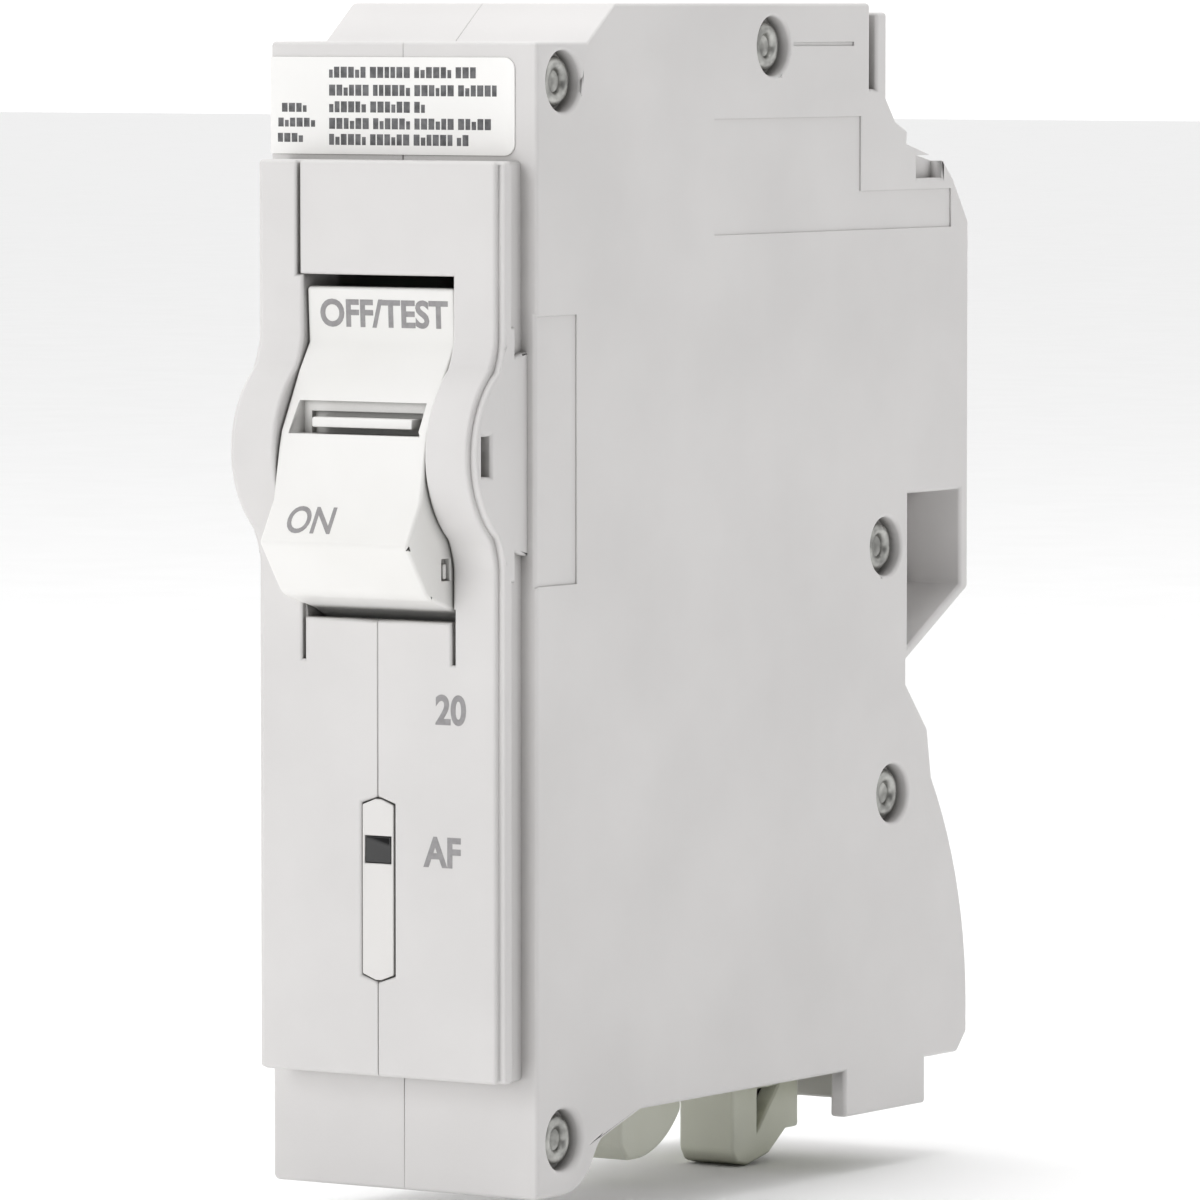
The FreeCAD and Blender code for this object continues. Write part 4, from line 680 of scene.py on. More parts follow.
def whole_facets(form: bmesh.types.BMesh) -> bmesh.types.BMesh:
    """Join flat neighbours into one face each, and number the flats that still have inner edges.

    A flat with a hole in it stays several faces. They share a number in the layer "flat", so that refilled()
    can close the flat again after its edges are rounded.

    Args:
        form: the mesh to work on.

    Returns:
        The same mesh.
    """
    bmesh.ops.remove_doubles(form, verts=form.verts, dist=2e-6)
    bmesh.ops.dissolve_limit(form, angle_limit=math.radians(FLAT_DEG), verts=form.verts, edges=form.edges)
    number = form.faces.layers.int.new("flat")
    count = 0
    for seed in form.faces:
        if seed[number] or all(edge.calc_face_angle(1.0) > math.radians(FLAT_DEG) for edge in seed.edges):
            continue
        count += 1
        waiting = [seed]
        while waiting:
            face = waiting.pop()
            if face[number]:
                continue
            face[number] = count
            waiting += [near for edge in face.edges if edge.calc_face_angle(1.0) < math.radians(FLAT_DEG)
                        for near in edge.link_faces]
    return form


def refilled(form: bmesh.types.BMesh) -> None:
    """Fill each numbered flat afresh from its outer loop and its holes, after the rounding has moved them.

    Args:
        form: the mesh, whose rounded strips have a material index above 0.
    """
    number = form.faces.layers.int.get("flat")
    flats: dict[int, list[bmesh.types.BMFace]] = {}
    for face in form.faces:
        if face[number] and face.material_index == 0:
            flats.setdefault(face[number], []).append(face)
    for faces in flats.values():
        own = set(faces)
        normal = sum((face.normal * face.calc_area() for face in faces), Vector()).normalized()
        rims = [edge for edge in dict.fromkeys(edge for face in faces for edge in face.edges)
                if len(own.intersection(edge.link_faces)) == 1]
        bmesh.ops.delete(form, geom=faces, context="FACES_ONLY")
        patched(form, rims, normal)
    bmesh.ops.delete(form, geom=[edge for edge in form.edges if not edge.link_faces], context="EDGES")
    made = bmesh.ops.holes_fill(form, edges=[edge for edge in form.edges if edge.is_boundary], sides=12)
    for face in made["faces"]:
        loop = face.loops[0]
        if loop.link_loop_radial_next.vert == loop.vert:
            face.normal_flip()
    for face in form.faces:
        face.smooth = True


def patched(form: bmesh.types.BMesh, rims: Sequence[bmesh.types.BMEdge], normal: Vector) -> None:
    """Fill a flat between its rims.

    The rims are laid in the flat's plane and joined by a constrained Delaunay triangulation. A triangle stays
    when a line from its middle crosses the rims an odd number of times, so that holes stay open.

    Args:
        form: the mesh, whose rims have lost the flat's faces.
        rims: the edges round the flat and round its holes.
        normal: the way that the flat faces.
    """
    corners = list(dict.fromkeys(vert for edge in rims for vert in edge.verts))
    number = {vert: index for index, vert in enumerate(corners)}
    level = normal.to_track_quat("Z", "Y").inverted()
    flat = [(level @ vert.co / MM).to_2d() for vert in corners]
    ends = [tuple(number[vert] for vert in edge.verts) for edge in rims]
    spots, _, triangles, sources, _, _ = delaunay_2d_cdt(flat, ends, [], 1, 1e-5)
    if len(spots) != len(corners) or any(len(source) != 1 for source in sources):
        LOG.info("a flat's rims cross, so it is filled plainly")
        bmesh.ops.triangle_fill(form, use_beauty=True, use_dissolve=False, edges=rims, normal=normal)
        return
    lines = np.array([[flat[first], flat[last]] for first, last in ends])
    start, run = lines[:, 0], lines[:, 1] - lines[:, 0]
    for triangle in triangles:
        across, up = np.mean([spots[index] for index in triangle], axis=0)
        met = (start[:, 1] > up) != (lines[:, 1, 1] > up)
        reach = start[met, 0] + (up - start[met, 1]) / run[met, 1] * run[met, 0]
        if (reach > across).sum() % 2:
            form.faces.new([corners[sources[index][0]] for index in triangle])


def rooms_beside(form: bmesh.types.BMesh) -> dict[bmesh.types.BMEdge, float]:
    """How wide a rounding may be at each outer edge.

    From three spots on an edge a line runs over each face beside it, square to the edge. Every crease is given
    by its offsets (along, inward, height) from the spot; it is met where its offset along changes sign, at an
    inward distance found by straight interpolation. A crease's end that lies beside the edge counts as well.
    The least distance over both faces is the room.

    Args:
        form: the merged mesh.

    Returns:
        The room of each convex edge, in millimetres.
    """
    creases = [edge for edge in form.edges if edge.calc_face_angle(0.0) > math.radians(3)]
    ends = np.array([[vert.co[:] for vert in edge.verts] for edge in creases]) / MM
    found = {}
    for edge in creases:
        if edge.calc_face_angle_signed(0.0) < math.radians(CREASE_DEG):
            continue
        room = 10.0
        for loop in edge.link_loops:
            start = np.array(loop.vert.co) / MM
            run = np.array(loop.link_loop_next.vert.co) / MM - start
            normal = np.array(loop.face.normal)
            axes = np.stack([run / np.linalg.norm(run), np.cross(normal, run) / np.linalg.norm(run), normal])
            near = (ends - start) @ axes.T
            span = np.linalg.norm(run)
            beside = (np.abs(near[..., 2]) < 0.02) & (np.abs(near[..., 0] - span / 2) < 0.48 * span)
            beside &= near[..., 1] > 1e-3
            if beside.any():
                room = min(room, float(near[..., 1][beside].min()))
            for share in (0.08, 0.5, 0.92):
                spots = (ends - start - run * share) @ axes.T
                along, inward = spots[..., 0], spots[..., 1]
                level = (np.abs(spots[..., 2]) < 0.02).all(1) & (along[:, 0] * along[:, 1] <= 0)
                level &= np.abs(along[:, 0] - along[:, 1]) > 1e-6
                part = along[level, 0] / (along[level, 0] - along[level, 1])
                reach = inward[level, 0] + part * (inward[level, 1] - inward[level, 0])
                reach = reach[reach > 1e-3]
                if len(reach):
                    room = min(room, float(reach.min()))
        found[edge] = room
    return found


def softened(name: str, form: bmesh.types.BMesh, width: float, wanted_at: Callable[[Array], float] | None = None,
             outside: Callable[[Vector, Vector], bool] | None = None, segments: int = 3) -> bpy.types.Object:
    """Round a merged form's outer edges as its mould or its die leaves them.

    Args:
        name: the new piece's name.
        form: the merged mesh, which is freed.
        width: the widest rounding, in millimetres.
        wanted_at: gives the rounding of an edge from its two ends as a (2, 3) array, when it varies.
        outside: says whether an edge at a point with a normal can be seen; all edges when left out.
        segments: faces across a rounding.

    Returns:
        The piece, whose rounded strips follow each edge's own width.
    """
    weights = form.edges.layers.float.new("bevel_weight_edge")
    rooms = rooms_beside(form)
    for edge in form.edges:
        turn = edge.calc_face_angle_signed(0.0)
        edge.smooth = abs(turn) < math.radians(CREASE_DEG)
        if turn < math.radians(CREASE_DEG) or len(edge.link_faces) != 2:
            continue
        middle = (edge.verts[0].co + edge.verts[1].co) / 2
        if outside and not outside(middle, (edge.link_faces[0].normal + edge.link_faces[1].normal).normalized()):
            continue
        wanted = width
        if wanted_at:
            wanted = wanted_at(np.array([vert.co[:] for vert in edge.verts]) / MM)
        edge[weights] = min(wanted, ROOM_SHARE * rooms.get(edge, wanted)) / width
        edge.smooth = True
    for face in form.faces:
        face.smooth = True
    mesh = bpy.data.meshes.new(name)
    form.to_mesh(mesh)
    form.free()
    source = points_of(mesh)
    for _ in range(2):
        mesh.materials.append(None)
    piece = bpy.data.objects.new(name, mesh)
    bpy.context.scene.collection.objects.link(piece)
    rounding = piece.modifiers.new("rounding", "BEVEL")
    rounding.limit_method = "WEIGHT"
    rounding.width = width * MM
    rounding.segments = segments
    rounding.use_clamp_overlap = False
    rounding.material = 1
    bpy.context.view_layer.update()
    made = bpy.data.meshes.new_from_object(piece.evaluated_get(bpy.context.evaluated_depsgraph_get()))
    form = bmesh.new()
    form.from_mesh(made)
    refilled(form)
    for face in form.faces:
        face.material_index = 0
    form.to_mesh(made)
    form.free()
    piece.modifiers.clear()
    made.vertices.foreach_set("co", np.clip(points_of(made), source.min(0), source.max(0)).ravel())
    piece.data = made
    evened = piece.modifiers.new("evened", "WEIGHTED_NORMAL")
    evened.keep_sharp = True
    return piece


def settle(piece: bpy.types.Object, node: str, finish: Finish | None = None, stands_for: Sequence[str] = (),
           slot: str | None = None) -> bpy.types.Object:
    """Dress a piece, tie it to a node's body and report it.

    Args:
        piece: the new object.
        node: the CAD node whose body it rides on and, unless told otherwise, whose slot it takes.
        finish: its finish; the slot's own when left out.
        stands_for: the CAD nodes that it replaces.
        slot: the record's slot, when it isn't the node's.

    Returns:
        The same piece.
    """
    slot = slot or SLOT_OF[node]
    piece.data.materials.clear()
    piece.data.materials.append((finish or FINISHES[slot]).material())
    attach(piece, BODY_OF[node])
    if stands_for:
        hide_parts(*stands_for)
    LOG.info("%s: %d faces, rides on %s", piece.name, len(piece.data.polygons), BODY_OF[node])
    return piece


# ------------------------------------------------------------------ print

def word(text: str, x0: float, x1: float, top: float, foot: float, face: Callable[[Array], Array],
         weight: float = 0.03, thickness: float = 0.02) -> tuple[Array, list[list[int]]]:
    """One printed word as a thin plate.

    The font's outline is made a mesh first. Its points are then stretched to x0..x1 and foot..top, and laid on a
    face: a point is face(x, drop) plus its thickness towards the viewer.

    Args:
        text: what it says.
        x0: its left end, in millimetres.
        x1: its right end.
        top: the drop of its upper edge below the roof.
        foot: the drop of its lower edge.
        face: turns an (n, 2) array of x and drop into points on the printed face.
        weight: how far each stroke is thickened, in letter heights.
        thickness: how far the ink stands proud.

    Returns:
        The points and the faces.
    """
    data = bpy.data.curves.new("word", "FONT")
    data.body = text
    data.offset = weight
    data.extrude = 0.5
    data.resolution_u = 5
    holder = bpy.data.objects.new("word", data)
    bpy.context.scene.collection.objects.link(holder)
    bpy.context.view_layer.update()
    mesh = bpy.data.meshes.new_from_object(holder)
    flat = points_of(mesh).astype(float)
    faces = [list(polygon.vertices) for polygon in mesh.polygons]
    bpy.data.objects.remove(holder)
    bpy.data.meshes.remove(mesh)
    low, high = flat.min(0), flat.max(0)
    share = (flat[:, :2] - low[:2]) / (high - low)[:2]
    spots = np.stack([x0 + share[:, 0] * (x1 - x0), foot + share[:, 1] * (top - foot)], -1)
    points = face(spots)
    points[:, 1] -= np.where(flat[:, 2] > 0, thickness, -thickness)
    return points, faces


def print_piece(name: str, words: Sequence[tuple[Array, list[list[int]]]]) -> bpy.types.Object:
    """Make one piece from several words.

    Args:
        name: the piece's name.
        words: the points and the faces of each word.

    Returns:
        The object.
    """
    points, faces, start = [], [], 0
    for spots, corners in words:
        points.append(spots)
        faces += [[index + start for index in face] for face in corners]
        start += len(spots)
    mesh = bpy.data.meshes.new(name)
    mesh.from_pydata(np.concatenate(points) * MM, [], faces)
    form = bmesh.new()
    form.from_mesh(mesh)
    bmesh.ops.remove_doubles(form, verts=form.verts, dist=1e-7)
    form.to_mesh(mesh)
    form.free()
    return finished(name, mesh, sharp_deg=25.0)


def upright(y: float) -> Callable[[Array], Array]:
    """A face across the front at one y."""
    return lambda spots: np.stack([spots[:, 0], np.full(len(spots), y), TOP_Z - spots[:, 1]], -1)


def sloping(first: tuple[float, float], last: tuple[float, float]) -> Callable[[Array], Array]:
    """A face that runs straight between two (y, drop) lines: y = first + (drop - first's) * slope.

    Args:
        first: y and drop of the upper line.
        last: y and drop of the lower line.

    Returns:
        The face, as word() takes it.
    """
    slope = (last[0] - first[0]) / (last[1] - first[1])
    return lambda spots: np.stack([spots[:, 0], first[0] + (spots[:, 1] - first[1]) * slope,
                                   TOP_Z - spots[:, 1]], -1)


# ------------------------------------------------------------------ the case

@dataclass
class CaseShells:
    """Two moulded half shells that meet on the middle plane, with mould-rounded edges."""

    edge_mm: float = 0.32
    seam_mm: float = 0.09
    chin_mm: float = 0.5
    reach_mm: float = 40.0

    def build(self) -> None:
        """Make both shells."""
        trees = [BVHTree.FromBMesh(self.whole(node)) for node in ("left_case", "right_case")]

        def outside(point: Vector, normal: Vector) -> bool:
            """True when a ray that leaves along the normal meets no shell."""
            start = point + normal * 0.02 * MM
            return all(tree.ray_cast(start, normal, self.reach_mm * MM)[0] is None for tree in trees)

        for node in ("left_case", "right_case"):
            shell = softened("moulded_" + node, merged(node), self.chin_mm, self.wanted, outside, 4)
            settle(shell, node, stands_for=[node])

    def wanted(self, ends: Array) -> float:
        """Next to nothing along the seam, generous round the chin's sides, and the usual rounding elsewhere.

        Args:
            ends: the edge's two ends as (2, 3), in millimetres.

        Returns:
            The rounding's width, in millimetres.
        """
        if np.abs(ends[:, 0]).max() < 0.01:
            return self.seam_mm
        middle = ends.mean(0)
        at_chin = middle[2] < CAD_LOW[2] + 9.2 and middle[1] < FRONT_Y + 12 and abs(middle[0]) > HALF_WIDTH - 0.1
        return self.chin_mm if at_chin else self.edge_mm

    @staticmethod
    def whole(node: str) -> bmesh.types.BMesh:
        """A plain copy of a node's mesh for ray casting.

        Args:
            node: the CAD node.

        Returns:
            The mesh.
        """
        form = bmesh.new()
        form.from_mesh(frame["nodes"][node].data)
        return form


@dataclass
class RivetSet:
    """Semi-tubular rivets: a low rolled head with a drilled eye at each end of each shank."""

    shank_mm: float = 1.5
    head_mm: float = 1.98
    eye_mm: float = 0.85
    places: tuple[tuple[float, float], ...] = ((3.8, 6.05), (34.6, 3.45), (52.1, 44.5), (53.2, 64.9), (3.9, 88.6))

    def build(self) -> None:
        """Turn the five rivets and put them in one piece."""
        reach = node_box("case_rivets")[1][0]
        end = [(0.62, 0.3), (0.6, self.eye_mm * 0.72), (0.5, self.eye_mm), (0.2, self.eye_mm + 0.1),
               (0.06, self.eye_mm + 0.28), (0.0, self.eye_mm + 0.5), (0.03, self.eye_mm + 0.72),
               (0.16, self.head_mm - 0.18), (0.36, self.head_mm - 0.04), (0.6, self.head_mm),
               (0.84, self.head_mm - 0.05), (0.9, self.head_mm - 0.16), (0.9, self.shank_mm)]
        profile = [(-reach + back, radius) for back, radius in end]
        profile += [(reach - back, radius) for back, radius in end[::-1]]
        grids = [turned(profile, tuple(at(0, depth, drop)[1:]), Axis.X, 40) for depth, drop in self.places]
        settle(shells("rolled_rivets", grids), "case_rivets", stands_for=["case_rivets"])


@dataclass
class FrontTrim:
    """The label film with its greeked print, the sliding indicator with its lens, and the plate's print."""

    film_mm: float = 0.12
    label_round_mm: float = 0.95
    rows: tuple[tuple[float, float, float], ...] = (
        (5.4, -6.9, 7.2), (6.8, -6.9, 9.1), (8.1, -6.9, 2.3), (9.4, -6.9, 8.6), (10.65, -6.9, 6.6))
    side_rows: tuple[tuple[float, float, float], ...] = ((8.17, -11.4, -8.8), (9.33, -11.75, -8.0),
                                                         (10.53, -11.8, -9.15))
    row_height_mm: float = 0.86

    def build(self) -> None:
        """Make the label, its print, the indicator and the plate's print."""
        low, high = node_box("rating_label")
        film = rounded([(low[0], low[2]), (high[0], low[2], self.label_round_mm),
                        (high[0], high[2], self.label_round_mm), (low[0], high[2])])
        label = shells("label_film", [slab(film, low[1], high[1], Axis.Y, 0.03, 2)])
        settle(label, "rating_label", stands_for=["rating_label"])
        self.greeking(low[1])
        settle(softened("indicator_bar", merged("indicator_insert"), 0.14), "indicator_insert",
               stands_for=["indicator_insert"])
        self.lens()
        words = [word("20", 5.45, 8.3, 53.5, 55.9, upright(PLATE_Y)),
                 word("AF", 4.3, 7.8, 64.6, 67.0, upright(PLATE_Y))]
        settle(print_piece("plate_print", words), "right_case", PRINT_INK, slot="case_plastic")

    def greeking(self, face_y: float) -> None:
        """Unreadable print: each row is a run of blocks whose widths come from a fixed sine sequence.

        Args:
            face_y: the label's printed face.
        """
        grids = []
        for number, (drop, x0, x1) in enumerate(self.rows + self.side_rows):
            tall = self.row_height_mm if number < len(self.rows) else 0.7
            widths = 0.34 + 0.24 * np.abs(np.sin(np.arange(60) * 2.4 + number * 1.7))
            gaps = np.where(np.arange(60) % 6 == 5, 0.42, 0.13)
            starts = x0 + np.concatenate([[0], np.cumsum(widths + gaps)[:-1]])
            for start, width in zip(starts, widths):
                if start + width > x1:
                    break
                foot = TOP_Z - drop - tall / 2
                cap = tall if width > 0.42 else tall * 0.74
                grids.append(bar(start, start + width, face_y - 0.015, face_y + 0.03, foot, foot + cap, 0.007))
        settle(shells("label_print", grids), "rating_label", LABEL_INK)

    def lens(self) -> None:
        """A crowned window: its rim stands lower than its middle by the crown's rounding."""
        low, high = node_box("indicator_lens")
        outline = rounded([(low[0], low[2], 0.12), (high[0], low[2], 0.12), (high[0], high[2], 0.12),
                           (low[0], high[2], 0.12)], 4)
        settle(shells("indicator_window", [slab(outline, low[1], high[1], Axis.Y, 0.11, 4)]), "indicator_lens",
               stands_for=["indicator_lens"])


# ------------------------------------------------------------------ the handle

@dataclass
class Handle:
    """The rocking handle: its rounded body, a dished finger recess with a bar across it, and its print."""

    edge_mm: float = 0.3
    side_x: float = 6.95
    recess: tuple[float, float, float, float] = (-5.9, 5.9, 30.9, 33.4)     # x from, x to, drop from, drop to
    side_recess: tuple[float, float, float, float] = (-5.0, -3.8, 42.9, 44.6)    # y from, y to, drop from, drop to

    def build(self) -> None:
        """Round the body, cut the recess, add the bar and the print."""
        body = softened("rocker", self.hollowed(), self.edge_mm, self.wanted)
        settle(body, "handle", stands_for=["handle"])
        low, high = at(0, -6.3, 33.0), at(0, -3.5, 32.2)
        grip = shells("rocker_grip_bar", [bar(-4.35, 5.05, low[1], high[1], low[2] + 0.1, high[2] + 0.1, 0.15)])
        settle(grip, "handle", FINISHES["handle_plastic"])
        stub = shells("rocker_side_stub", [bar(self.side_x - 0.6, self.side_x - 0.12, FRONT_Y - 4.6, FRONT_Y - 4.1,
                                               TOP_Z - 44.5, TOP_Z - 43.3, 0.12)])
        settle(stub, "handle", FINISHES["handle_plastic"])
        words = [word("OFF/TEST", -5.7, 6.3, 23.0, 25.2, sloping((FRONT_Y - 3.2, 22.05), (FRONT_Y - 3.0, 26.4))),
                 word("ON", -4.9, -0.6, 38.95, 41.0, sloping((FRONT_Y - 7.88, 38.46), (FRONT_Y - 9.8, 41.8)), 0.015)]
        settle(print_piece("rocker_print", words), "handle", PRINT_INK)

    def wanted(self, ends: Array) -> float:
        """A crisp edge round the finger recess and the side notch, and the usual rounding elsewhere.

        Args:
            ends: the edge's two ends as (2, 3), in millimetres.

        Returns:
            The rounding's width, in millimetres.
        """
        x, y, z = ends.mean(0)
        in_recess = abs(x) < 6.6 and y > FRONT_Y - 8 and TOP_Z - 33.9 < z < TOP_Z - 30.4
        in_notch = x > self.side_x - 0.7 and FRONT_Y - 5.3 < y < FRONT_Y - 3.5 and TOP_Z - 44.9 < z < TOP_Z - 42.6
        return 0.07 if in_recess or in_notch else self.edge_mm

    def hollowed(self) -> bmesh.types.BMesh:
        """The body with a shallow recess whose upper wall slopes and whose left end is slanted.

        Returns:
            The mesh in whole facets.
        """
        base = bpy.data.meshes.new("rocker_base")
        form = merged("handle")
        form.to_mesh(base)
        form.free()
        solid = bpy.data.objects.new("rocker_base", base)
        bpy.context.scene.collection.objects.link(solid)
        x0, x1, top, foot = self.recess
        deep, far = FRONT_Y - 5.0, FRONT_Y - 20.0

        def ring(y: float, grow: float) -> Array:
            """The recess's outline at one y: each side moves out by its own share of the growth.

            Args:
                y: where the outline lies.
                grow: how far it has grown.

            Returns:
                Four points.
            """
            corners = [(x0 - grow * 0.5, TOP_Z - foot), (x1 + grow * 0.5, TOP_Z - foot),
                       (x1 + grow * 0.3, TOP_Z - top + grow * 0.25), (x0 - grow * 0.1, TOP_Z - top + grow * 0.25)]
            return oriented(np.array(corners), np.full(4, y), Axis.Y)

        front, rear, upper, lower = self.side_recess
        notch = bar(self.side_x - 0.55, self.side_x + 1.0, FRONT_Y + front, FRONT_Y + rear, TOP_Z - lower,
                    TOP_Z - upper, 0.02)
        tool = shells("recess_tool", [np.stack([ring(deep, 0.0), ring(far, 4.0)]), notch])
        cutting = solid.modifiers.new("recess", "BOOLEAN")
        cutting.object = tool
        cutting.solver = "EXACT"
        bpy.context.view_layer.update()
        seen = bpy.context.evaluated_depsgraph_get()
        result = bpy.data.meshes.new_from_object(solid.evaluated_get(seen))
        form = bmesh.new()
        form.from_mesh(result)
        for spare in (solid, tool):
            bpy.data.objects.remove(spare)
        return whole_facets(form)


# ------------------------------------------------------------------ inside and below

@dataclass
class Springs:
    """Wound wire springs in place of the plain coils, with closed ends."""

    steps_per_turn: int = 20
    wire_sides: int = 8

    def build(self) -> None:
        """Wind the three coils about their own axes."""
        for node, axis, turns, wire, joint in (("arm_spring", Axis.Z, 11, 0.6, "arm_swing"),
                                               ("armature_spring", Axis.Y, 8, 0.3, "armature_tilt"),
                                               ("plunger_spring", Axis.Y, 5, 0.45, "")):
            low, high = node_box(node)
            grid = self.coil(low, high, axis, turns, wire)
            piece = settle(shells("wound_" + node, [grid]), node, stands_for=[node])
            if joint:
                self.press(piece, low, high, axis, joint)

    @staticmethod
    def press(piece: bpy.types.Object, low: Array, high: Array, axis: Axis, joint: str) -> None:
        """Give a spring its own copy of its mesh and find the middle of its far end; the spring is not shortened.

        Args:
            piece: the wound spring.
            low: the lowest corner of its node.
            high: the highest corner.
            axis: the spring's axis, Y or Z.
            joint: not used.
        """
        along = axis.value[2]
        anchor = (low + high) / 2
        anchor[along] = high[along]
        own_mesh(piece)

    def coil(self, low: Array, high: Array, axis: Axis, turns: int, wire: float) -> Array:
        """A helix inside a box.

        The rise along the axis is a smooth step of the share of the run near both ends, so the end turns lie
        flat, and the wire's section stands on the radius from the axis.

        Args:
            low: the box's lowest corner.
            high: its highest corner.
            axis: the coil's axis.
            turns: number of turns.
            wire: the wire's diameter.

        Returns:
            The wire's grid.
        """
        first, second, third = axis.value
        middle = (low + high) / 2
        radius = min(high[first] - low[first], high[second] - low[second]) / 2 - wire / 2
        share = np.linspace(0, 1, turns * self.steps_per_turn)
        ends = 0.9 / turns
        rise = np.clip((share - ends / 2) / (1 - ends), 0, 1)
        angle = share * turns * 2 * np.pi
        path, spoke = np.empty((len(share), 3)), np.zeros((len(share), 3))
        spoke[:, first], spoke[:, second] = np.cos(angle), np.sin(angle)
        path[:] = middle + radius * spoke
        path[:, third] = low[third] + wire / 2 + rise * (high[third] - low[third] - wire)
        return swept(path, spoke, circle(wire / 2, self.wire_sides))


@dataclass
class Windings:
    """Wire wound in layers: the solenoid's coil and the current transformer's toroid."""

    coil_wire_mm: float = 0.34
    toroid_turns: int = 84
    toroid_wire_mm: float = 0.42

    def build(self) -> None:
        """Wind the solenoid and the toroid."""
        low, high = node_box("solenoid_coil")
        middle = (low + high) / 2
        radius = (high[0] - low[0]) / 2
        inner = self.bore("solenoid_coil", 1)
        pitch = self.coil_wire_mm
        count = int((high[1] - low[1]) / pitch)
        share = np.linspace(0, 1, count * 8 + 1)
        height = low[1] + share * (high[1] - low[1])
        bulge = radius - pitch / 2 + pitch / 2 * np.abs(np.sin(np.pi * share * count))
        profile = [(low[1], inner), *zip(height, bulge), (high[1], inner)]
        settle(shells("wound_solenoid_coil", [turned(profile, (middle[0], middle[2]), Axis.Y, 48)]), "solenoid_coil",
               stands_for=["solenoid_coil"])
        self.toroid()

    @staticmethod
    def bore(node: str, axis: int) -> float:
        """The smallest distance of a node's points from its own axis, in millimetres.

        Args:
            node: the CAD node.
            axis: the number of the axis that it is round about.

        Returns:
            The distance.
        """
        points = points_of(frame["nodes"][node].data).astype(float) / MM
        middle = (points.min(0) + points.max(0)) / 2
        spread = np.delete(points - middle, axis, axis=1)
        return float(np.linalg.norm(spread, axis=1).min())

    def toroid(self) -> None:
        """Turns of wire round the core.

        At turn angle a about the core's axis the section is a rounded rectangle; its distance from the section's
        middle swells by the wire's half thickness times the size of sin(turns * a / 2).
        """
        low, high = node_box("transformer_winding")
        middle = (low + high) / 2
        outer, inner = (high[0] - low[0]) / 2, self.bore("transformer_winding", 1)
        half_high, half_wide = (high[1] - low[1]) / 2, (outer - inner) / 2
        steps = self.toroid_turns * 6
        around = np.linspace(0, 2 * np.pi, steps, endpoint=False)
        section = rounded([(-half_wide, -half_high, 0.6), (half_wide, -half_high, 0.6),
                           (half_wide, half_high, 0.6), (-half_wide, half_high, 0.6)], 3)
        trim = 1 - self.toroid_wire_mm / 2 / half_wide * (1 - np.abs(np.sin(self.toroid_turns * around / 2)))
        away = inner + half_wide + section[None, :, 0] * trim[:, None]
        flat = np.stack([away * np.cos(around)[:, None], away * np.sin(around)[:, None]], -1)
        points = oriented(flat + middle[[0, 2]], middle[1] + section[None, :, 1] * trim[:, None], Axis.Y)
        closed = np.concatenate([points, points[:1]])
        rows, columns = closed.shape[:2]
        mesh = bpy.data.meshes.new("wound_transformer")
        faces = quads(rows, columns) % (steps * columns)
        mesh.from_pydata(points.reshape(-1, 3) * MM, [], faces.tolist())
        settle(finished("wound_transformer", mesh), "transformer_winding", stands_for=["transformer_winding"])


